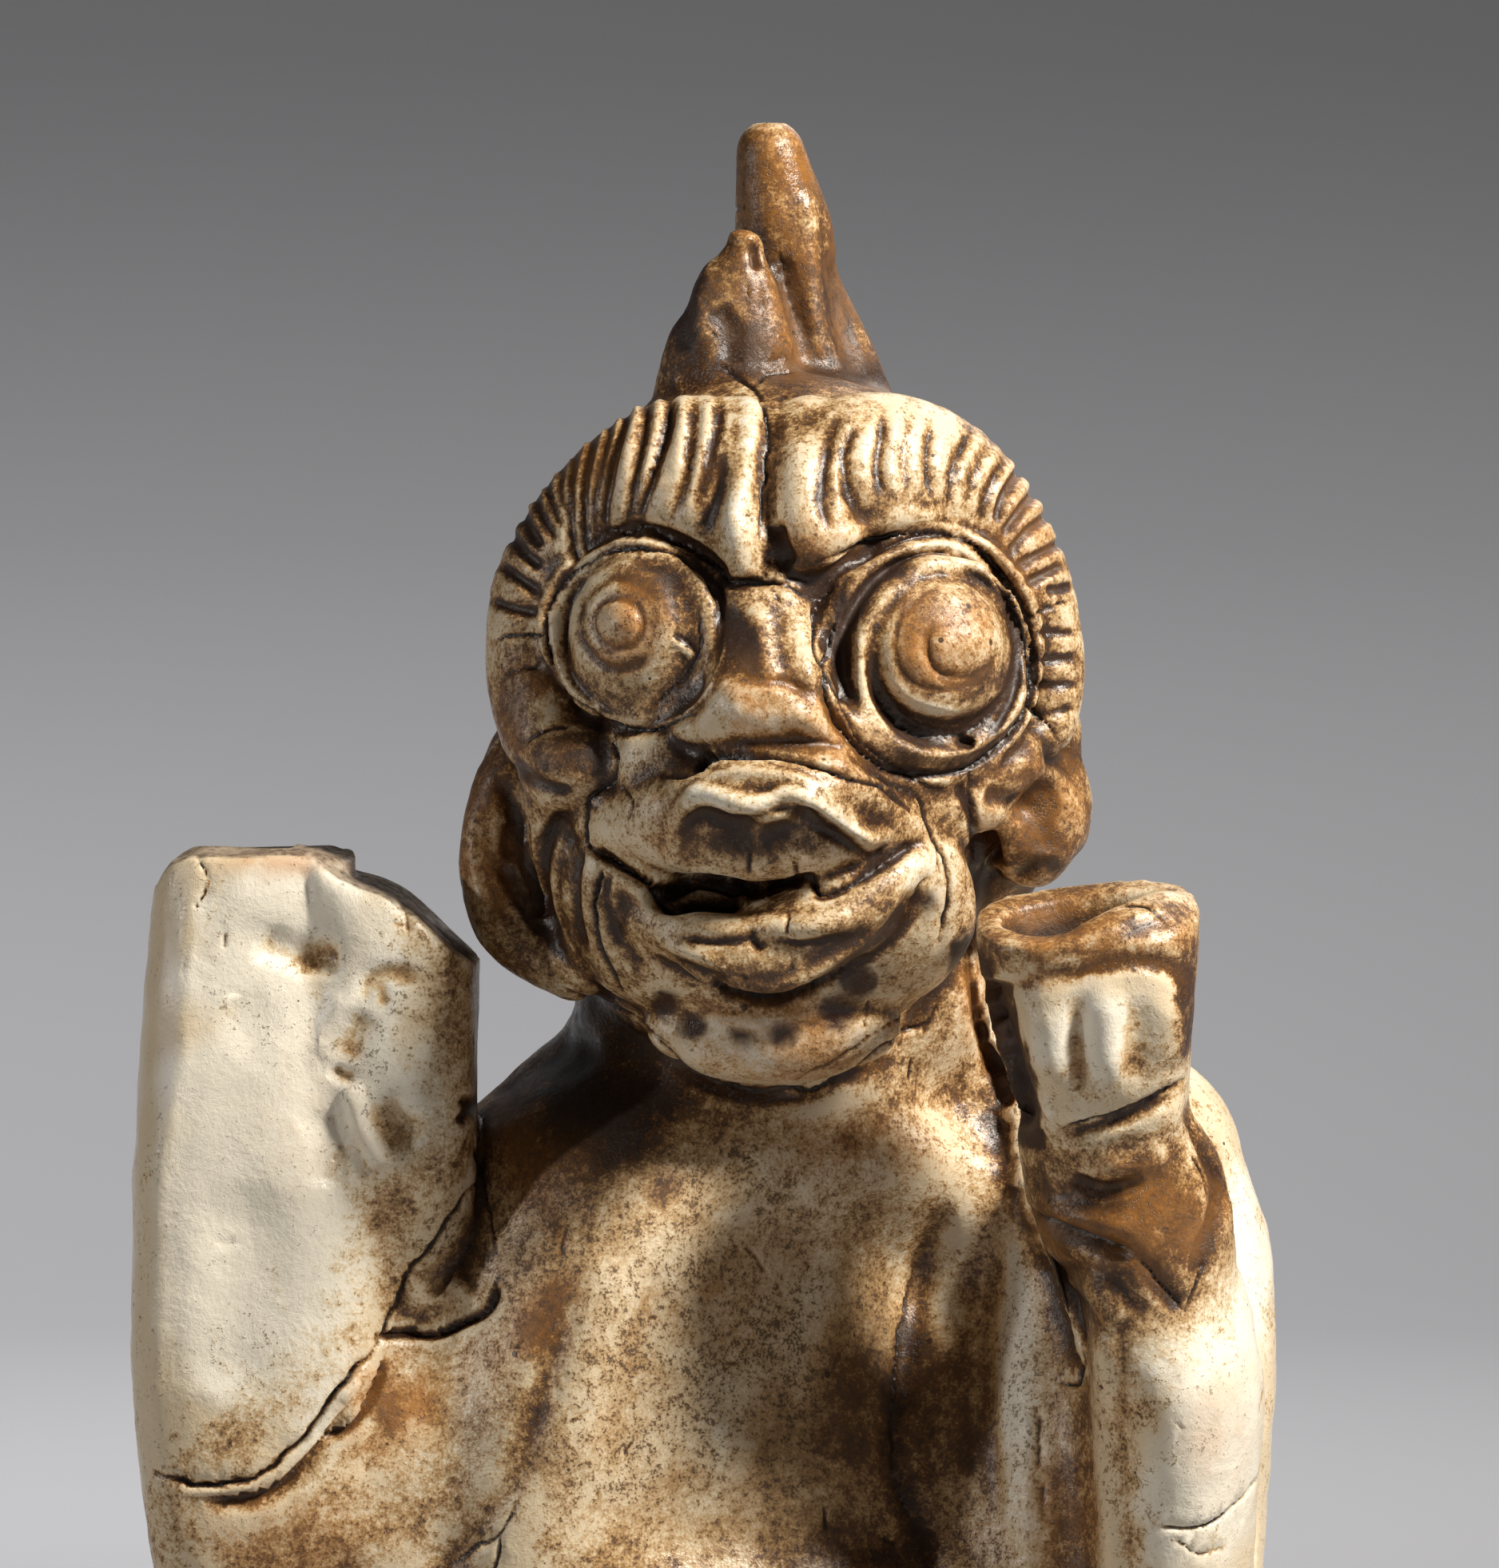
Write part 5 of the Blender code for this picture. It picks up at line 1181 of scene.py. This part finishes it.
def thin(skin, hollow):
    # fine triangles on the face and the tooling, broad ones on the plain back and legs
    obj = skin.obj
    mesh = obj.data
    for name, value in skin.paint.items():
        layer = mesh.attributes.new(name, 'FLOAT', 'POINT')
        layer.data.foreach_set("value", value.astype(np.float32))
    z = skin.at[:, 2]
    y = skin.at[:, 1]
    loose = np.full(skin.count, 0.9)
    loose[skin.seen & (z > 120)] = 0.55
    loose[skin.seen & (z > 192) & (y < 10) & (skin.at[:, 0] > -38)] = 0.2
    detail = np.maximum(skin.paint["crack"], np.clip(np.abs(hollow) / 0.25, 0, 1) * 0.6)
    loose = np.where(skin.seen & (z > 120), loose * (1 - detail), loose)
    loose = np.where(skin.paint["crack"] > 0.15, np.minimum(loose, 0.1), loose)
    group = obj.vertex_groups.new(name="loose")
    level = np.round(np.clip(loose, 0, 1) * 10).astype(int)
    for step in range(11):
        chosen = np.nonzero(level == step)[0]
        if len(chosen):
            group.add(chosen.tolist(), step / 10, 'REPLACE')
    faces = sum(len(face.vertices) - 2 for face in mesh.polygons)
    modifier = obj.modifiers.new("thin", 'DECIMATE')
    modifier.ratio = min(1, clay["triangles"] / faces)
    modifier.vertex_group = "loose"
    modifier.vertex_group_factor = clay["keepDetail"]
    modifier.use_collapse_triangulate = True
    applyModifiers(obj)
    obj.vertex_groups.clear()
    print("thinned from", faces, "to", len(obj.data.polygons))


def keepLargestShell(bm):
    # kneaded lumps can leave small closed bubbles inside; only the outer skin stays
    for vert in bm.verts:
        vert.tag = False
    shells = []
    for start in bm.verts:
        if start.tag:
            continue
        start.tag = True
        shell = [start]
        for vert in shell:
            for edge in vert.link_edges:
                other = edge.other_vert(vert)
                if not other.tag:
                    other.tag = True
                    shell.append(other)
        shells.append(shell)
    shells.sort(key=len)
    for shell in shells[:-1]:
        bmesh.ops.delete(bm, geom=shell, context='VERTS')
    print("shells dropped", len(shells) - 1)


def finishShape(obj):
    bm = bmesh.new()
    bm.from_mesh(obj.data)
    geometry = bm.verts[:] + bm.edges[:] + bm.faces[:]
    bmesh.ops.bisect_plane(bm, geom=geometry, dist=0.001, plane_co=(0, 0, 0), plane_no=(0, 0, -1),
                           clear_outer=True)
    rim = [edge for edge in bm.edges if edge.is_boundary]
    bmesh.ops.contextual_create(bm, geom=rim)
    bmesh.ops.triangulate(bm, faces=bm.faces[:])
    keepLargestShell(bm)
    bmesh.ops.recalc_face_normals(bm, faces=bm.faces[:])
    bmesh.ops.scale(bm, vec=(0.001, 0.001, 0.001), verts=bm.verts[:])
    low, high = cadBox
    for vert in bm.verts:                                    # nothing stands outside the solid's box
        for axis in range(3):
            vert.co[axis] = min(max(vert.co[axis], low[axis]), high[axis])
    bm.to_mesh(obj.data)
    bm.free()
    obj.data.shade_smooth()


def makeFigurine():
    parts = [makeBody(), makeWeb(), makeHead(), makeHand()]
    print("masses kneaded")
    figurine = join("figurineClay", parts)
    fuse(figurine, clay["grain"], 1)
    skin = Skin(figurine)
    print("one skin of", skin.count, "points")
    for amount, size, seed in ((0.75, 22, 11), (0.34, 9, 12), (0.12, 4, 14)):
        skin.roughen(amount, size, seed)
    skin.update()
    carveTrunk(skin)
    carveArm(skin)
    carveHand(skin)
    skin.update()
    carveBrows(skin)
    carveEyes(skin)
    carveNoseAndCheeks(skin)
    skin.update()
    carveMouth(skin)
    carveEarsAndHorns(skin)
    addHairCracks(skin)
    skin.roughen(0.07, 2, 13)
    skin.update()
    print("surface tooled")
    fine, broad = measureHollows(skin)
    skin.paint["hollow"] = np.clip(fine / 0.12, -0.6, 1)
    skin.paint["fold"] = np.clip(broad / 0.8, -0.35, 1)
    brushColour(skin)
    thin(skin, fine)
    finishShape(figurine)
    return figurine


glazeLook = {
    "ivory": (0.87, 0.80, 0.665), "cream": (0.72, 0.57, 0.37), "tan": (0.48, 0.295, 0.13),
    "brown": (0.17, 0.082, 0.03), "umber": (0.040, 0.018, 0.009), "amber": (0.60, 0.26, 0.06),
    "slate": (0.06, 0.045, 0.042), "black": (0.012, 0.008, 0.006), "bare": (0.36, 0.27, 0.18),
    "dirt": (0.10, 0.062, 0.036), "dot": (0.036, 0.012, 0.007),
}


class Nodes:
    # short calls for wiring a material's nodes
    def __init__(self, material):
        material.use_nodes = True
        self.tree = material.node_tree
        self.shader = self.tree.nodes["Principled BSDF"]
        self.coord = self.tree.nodes.new("ShaderNodeTexCoord").outputs["Object"]

    def plug(self, socket, value):
        if isinstance(value, bpy.types.NodeSocket):
            self.tree.links.new(value, socket)
        else:
            socket.default_value = value

    def math(self, operation, *values):
        node = self.tree.nodes.new("ShaderNodeMath")
        node.operation = operation
        for socket, value in zip(node.inputs, values):
            self.plug(socket, value)
        return node.outputs[0]

    def ramp(self, value, low, high, to=(0.0, 1.0)):
        node = self.tree.nodes.new("ShaderNodeMapRange")
        node.interpolation_type = 'SMOOTHSTEP'
        for name, item in (("Value", value), ("From Min", low), ("From Max", high), ("To Min", to[0]),
                           ("To Max", to[1])):
            self.plug(node.inputs[name], item)
        return node.outputs[0]

    def mask(self, name):
        node = self.tree.nodes.new("ShaderNodeAttribute")
        node.attribute_name = name
        return node.outputs["Fac"]

    def noise(self, scale, detail=4.0, rough=0.6, twist=0.0):
        node = self.tree.nodes.new("ShaderNodeTexNoise")
        self.plug(node.inputs["Vector"], self.coord)
        self.plug(node.inputs["Scale"], scale)
        self.plug(node.inputs["Detail"], detail)
        self.plug(node.inputs["Roughness"], rough)
        self.plug(node.inputs["Distortion"], twist)
        return node.outputs["Fac"]

    def cells(self, scale, output="Distance"):
        node = self.tree.nodes.new("ShaderNodeTexVoronoi")
        self.plug(node.inputs["Vector"], self.coord)
        self.plug(node.inputs["Scale"], scale)
        return node.outputs[output]

    def steps(self, value, stops, blend='LINEAR'):
        node = self.tree.nodes.new("ShaderNodeValToRGB")
        self.plug(node.inputs[0], value)
        node.color_ramp.interpolation = blend
        stripes = node.color_ramp.elements
        while len(stripes) < len(stops):
            stripes.new(0.5)
        for stripe, (place, colour) in zip(stripes, stops):
            stripe.position = place
            stripe.color = (*colour, 1)
        return node.outputs["Color"]

    def total(self, start, *terms):
        # start plus each value times its weight
        for value, weight in terms:
            start = self.math('MULTIPLY_ADD', value, weight, start)
        return start

    def mix(self, amount, below, above, blend='MIX'):
        node = self.tree.nodes.new("ShaderNodeMix")
        node.data_type = 'RGBA'
        node.blend_type = blend
        self.plug(node.inputs[0], amount)
        for socket, value in ((node.inputs[6], below), (node.inputs[7], above)):
            self.plug(socket, value if isinstance(value, bpy.types.NodeSocket) else (*value, 1))
        return node.outputs[2]


def makeGlaze():
    material = bpy.data.materials.new("ironStainedGlaze")
    n = Nodes(material)
    look = glazeLook
    hollow, fold, crack, tone = n.mask("hollow"), n.mask("fold"), n.mask("crack"), n.mask("tone")
    stain, ochre, umber = n.mask("stain"), n.mask("ochre"), n.mask("umber")
    bare, white, wet, dirt = n.mask("bare"), n.mask("white"), n.mask("wet"), n.mask("dirt")
    cloud = n.math('SUBTRACT', n.noise(48, 5, 0.6, 0.5), 0.5)
    mottle = n.math('SUBTRACT', n.noise(150, 7, 0.68, 0.3), 0.5)
    speck = n.math('SUBTRACT', n.noise(850, 4, 0.7), 0.5)
    grit = n.math('SUBTRACT', n.noise(2600, 3, 0.6), 0.5)
    # how thick the iron lies: worn off the crests, gathered in the folds
    gathered = n.math('MULTIPLY', n.total(0.0, (fold, 0.42), (hollow, 0.22)), n.total(1.0, (white, -0.6)))
    broken = n.math('MULTIPLY', n.total(0.0, (cloud, 1.5), (mottle, 1.15), (speck, 1.25), (grit, 0.9)),
                    n.total(1.0, (white, -0.5), (dirt, -0.38)))
    iron = n.total(0.13, (gathered, 1.0), (broken, 1.0), (tone, 0.74), (stain, 0.42), (umber, 0.55),
                   (white, -0.30))
    iron = n.math('MAXIMUM', iron, n.total(0.27, (white, -0.4)))
    colour = n.steps(iron, [(0.08, look["ivory"]), (0.3, look["cream"]), (0.52, look["tan"]),
                            (0.74, look["brown"]), (1.0, look["umber"])])
    amber = n.math('MULTIPLY', ochre, n.ramp(n.total(0.5, (cloud, 1.5), (mottle, 1.6)), 0.1, 0.8))
    colour = n.mix(n.math('MULTIPLY', amber, 0.72), colour, n.mix(0.55, colour, look["amber"], 'MULTIPLY'))
    colour = n.mix(n.math('MULTIPLY', amber, 0.5), colour, look["amber"])
    slate = n.math('MULTIPLY', umber, n.ramp(n.total(0.5, (cloud, 2.5), (speck, 0.8)), 0.45, 0.75))
    colour = n.mix(n.math('MULTIPLY', slate, 0.22), colour, look["slate"])
    # dirt caught in the pitted glaze
    specks = n.ramp(n.total(0.5, (speck, 0.6), (mottle, 0.3), (grit, 0.55), (dirt, 0.065), (tone, 0.02)),
                    0.59, 0.66)
    colour = n.mix(n.math('MULTIPLY', specks, n.total(0.42, (dirt, 0.45))), colour, look["dirt"])
    pinSize = n.ramp(n.cells(260, "Color"), 0.6, 1.0, (0.0, 0.14))
    pinhole = n.math('LESS_THAN', n.cells(260), pinSize)
    colour = n.mix(n.math('MULTIPLY', pinhole, 0.85), colour, look["umber"])
    bareTone = n.mix(n.ramp(n.total(0.5, (speck, 1.2), (mottle, 0.8)), 0.35, 0.65), look["bare"],
                     look["dirt"])
    colour = n.mix(bare, colour, bareTone)
    dotTone = n.mix(n.ramp(n.total(0.5, (speck, 1.4)), 0.5, 1.2), look["dot"], look["brown"])
    colour = n.mix(n.math('MULTIPLY', n.mask("dot"), 0.97), colour, dotTone)
    colour = n.mix(n.ramp(crack, 0.25, 0.75), colour, look["black"])
    n.plug(n.shader.inputs["Base Color"], colour)
    rough = n.total(0.27, (speck, 0.35), (mottle, 0.3), (tone, 0.10), (umber, 0.2), (dirt, 0.08),
                    (bare, 0.4), (wet, -0.20))
    n.plug(n.shader.inputs["Roughness"], n.ramp(rough, 0.0, 1.0, (0.07, 0.93)))
    n.plug(n.shader.inputs["Specular IOR Level"], 0.5)
    height = n.total(0.0, (mottle, 0.75), (speck, 0.2), (grit, 0.05), (pinhole, -0.25), (crack, -0.25),
                     (specks, -0.12))
    bump = n.tree.nodes.new("ShaderNodeBump")
    bump.inputs["Strength"].default_value = 0.6
    bump.inputs["Distance"].default_value = 0.0009
    n.plug(bump.inputs["Height"], height)
    n.plug(n.shader.inputs["Normal"], bump.outputs["Normal"])
    return material


studio = {
    "boardNear": 0.40, "boardMiddle": 0.27, "boardFar": 0.12, "footShade": 0.45,
    "wall": 2.3, "wallHeight": 2.6, "sweep": 0.9,
    "keyAt": (0.769, -0.487, 1.040), "keySize": 0.2, "keyPower": 27.8,
    "rimAt": (-1.05, -0.3, 0.42), "rimSize": 0.045, "rimPower": 2.6,
    "backAt": (0.5, 1.1, 0.95), "backSize": 0.8, "backPower": 3,
    "boardAt": (-0.3, 0.9, 0.9), "boardAim": (-0.15, 1.9, 0.3), "boardSize": 1.0, "boardPower": 13,
    "air": 0.035,
    "lookAt": (0.0042, -0.030, 0.237), "distance": 1.25, "elevation": 3, "frameHeight": 0.218,
}


def makeCove():
    # a pale floor that sweeps up into a round wall
    bm = bmesh.new()
    wall, sweep = studio["wall"], studio["sweep"]
    profile = [bm.verts.new((0.0001, 0, 0)), bm.verts.new((0.6, 0, 0))]
    for k in range(17):
        angle = math.radians(90 * k / 16)
        profile.append(bm.verts.new((wall - sweep + sweep * math.sin(angle), 0,
                                     sweep - sweep * math.cos(angle))))
    profile.append(bm.verts.new((wall, 0, studio["wallHeight"])))
    edges = [bm.edges.new(pair) for pair in zip(profile[:-1], profile[1:])]
    bmesh.ops.spin(bm, geom=profile + edges, cent=(0, 0, 0), axis=(0, 0, 1), angle=math.tau, steps=96,
                   use_merge=True)
    bmesh.ops.recalc_face_normals(bm, faces=bm.faces[:])
    bmesh.ops.reverse_faces(bm, faces=bm.faces[:])
    cove = placeMesh("cove", bm)
    cove.data.shade_smooth()
    material = bpy.data.materials.new("paleBoard")
    n = Nodes(material)
    split = n.tree.nodes.new("ShaderNodeSeparateXYZ")
    n.plug(split.inputs[0], n.coord)
    height = split.outputs[2]
    tint = (0.985, 0.985, 1.02)
    names = ("boardNear", "boardMiddle", "boardFar")
    near, middle, far = (tuple(c * studio[name] for c in tint) for name in names)
    # painted shade: the board's colour darkens with height, standing in for light falling off up the wall;
    # near the figure it is mixed darker too
    tone = n.steps(height, [(0.0, near), (0.1, near), (0.22, middle), (0.40, far), (0.7, far)], 'B_SPLINE')
    reach = n.tree.nodes.new("ShaderNodeVectorMath")
    reach.operation = 'LENGTH'
    n.plug(reach.inputs[0], n.coord)
    tone = n.mix(n.ramp(reach.outputs["Value"], 0.3, 0.95, (studio["footShade"], 0.0)), tone, far)
    n.plug(n.shader.inputs["Base Color"], tone)
    n.shader.inputs["Roughness"].default_value = 0.95
    n.shader.inputs["Specular IOR Level"].default_value = 0.1
    cove.data.materials.append(material)


def addLight(name, colour=(1, 1, 1), aim=None):
    light = bpy.data.lights.new(name, 'AREA')
    light.shape = 'DISK'
    light.size = studio[name + "Size"]
    light.energy = studio[name + "Power"]
    light.color = colour
    lamp = bpy.data.objects.new(name, light)
    bpy.context.scene.collection.objects.link(lamp)
    lamp.location = studio[name + "At"]
    way = Vector(aim or studio["lookAt"]) - lamp.location
    lamp.rotation_euler = way.to_track_quat('-Z', 'Y').to_euler()


def setUpStudio():
    makeCove()
    addLight("key", (1, 0.955, 0.875))
    addLight("rim", (1, 0.98, 0.95))
    addLight("back", (1, 0.98, 0.95))
    addLight("board", (0.985, 0.985, 1), studio["boardAim"])
    world = bpy.data.worlds.new("studioAir")
    world.use_nodes = True
    back = world.node_tree.nodes["Background"]
    back.inputs["Color"].default_value = (1, 0.98, 0.96, 1)
    back.inputs["Strength"].default_value = studio["air"]
    bpy.context.scene.world = world
    bpy.context.scene.view_settings.view_transform = 'Standard'
    camera = bpy.data.objects.new("camera", bpy.data.cameras.new("camera"))
    bpy.context.scene.collection.objects.link(camera)
    angle = math.radians(studio["elevation"])
    away = Vector((0, -math.cos(angle), math.sin(angle))) * studio["distance"]
    camera.location = Vector(studio["lookAt"]) + away
    camera.rotation_euler = (-away).to_track_quat('-Z', 'Y').to_euler()
    camera.data.lens = studio["distance"] * 36 / studio["frameHeight"]
    bpy.context.scene.camera = camera


figurine = makeFigurine()
print("figurine finished with", len(figurine.data.polygons), "triangles")
figurine.data.materials.clear()
figurine.data.materials.append(makeGlaze())
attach(figurine, "root")
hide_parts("figurine")
setUpStudio()
print("studio set")
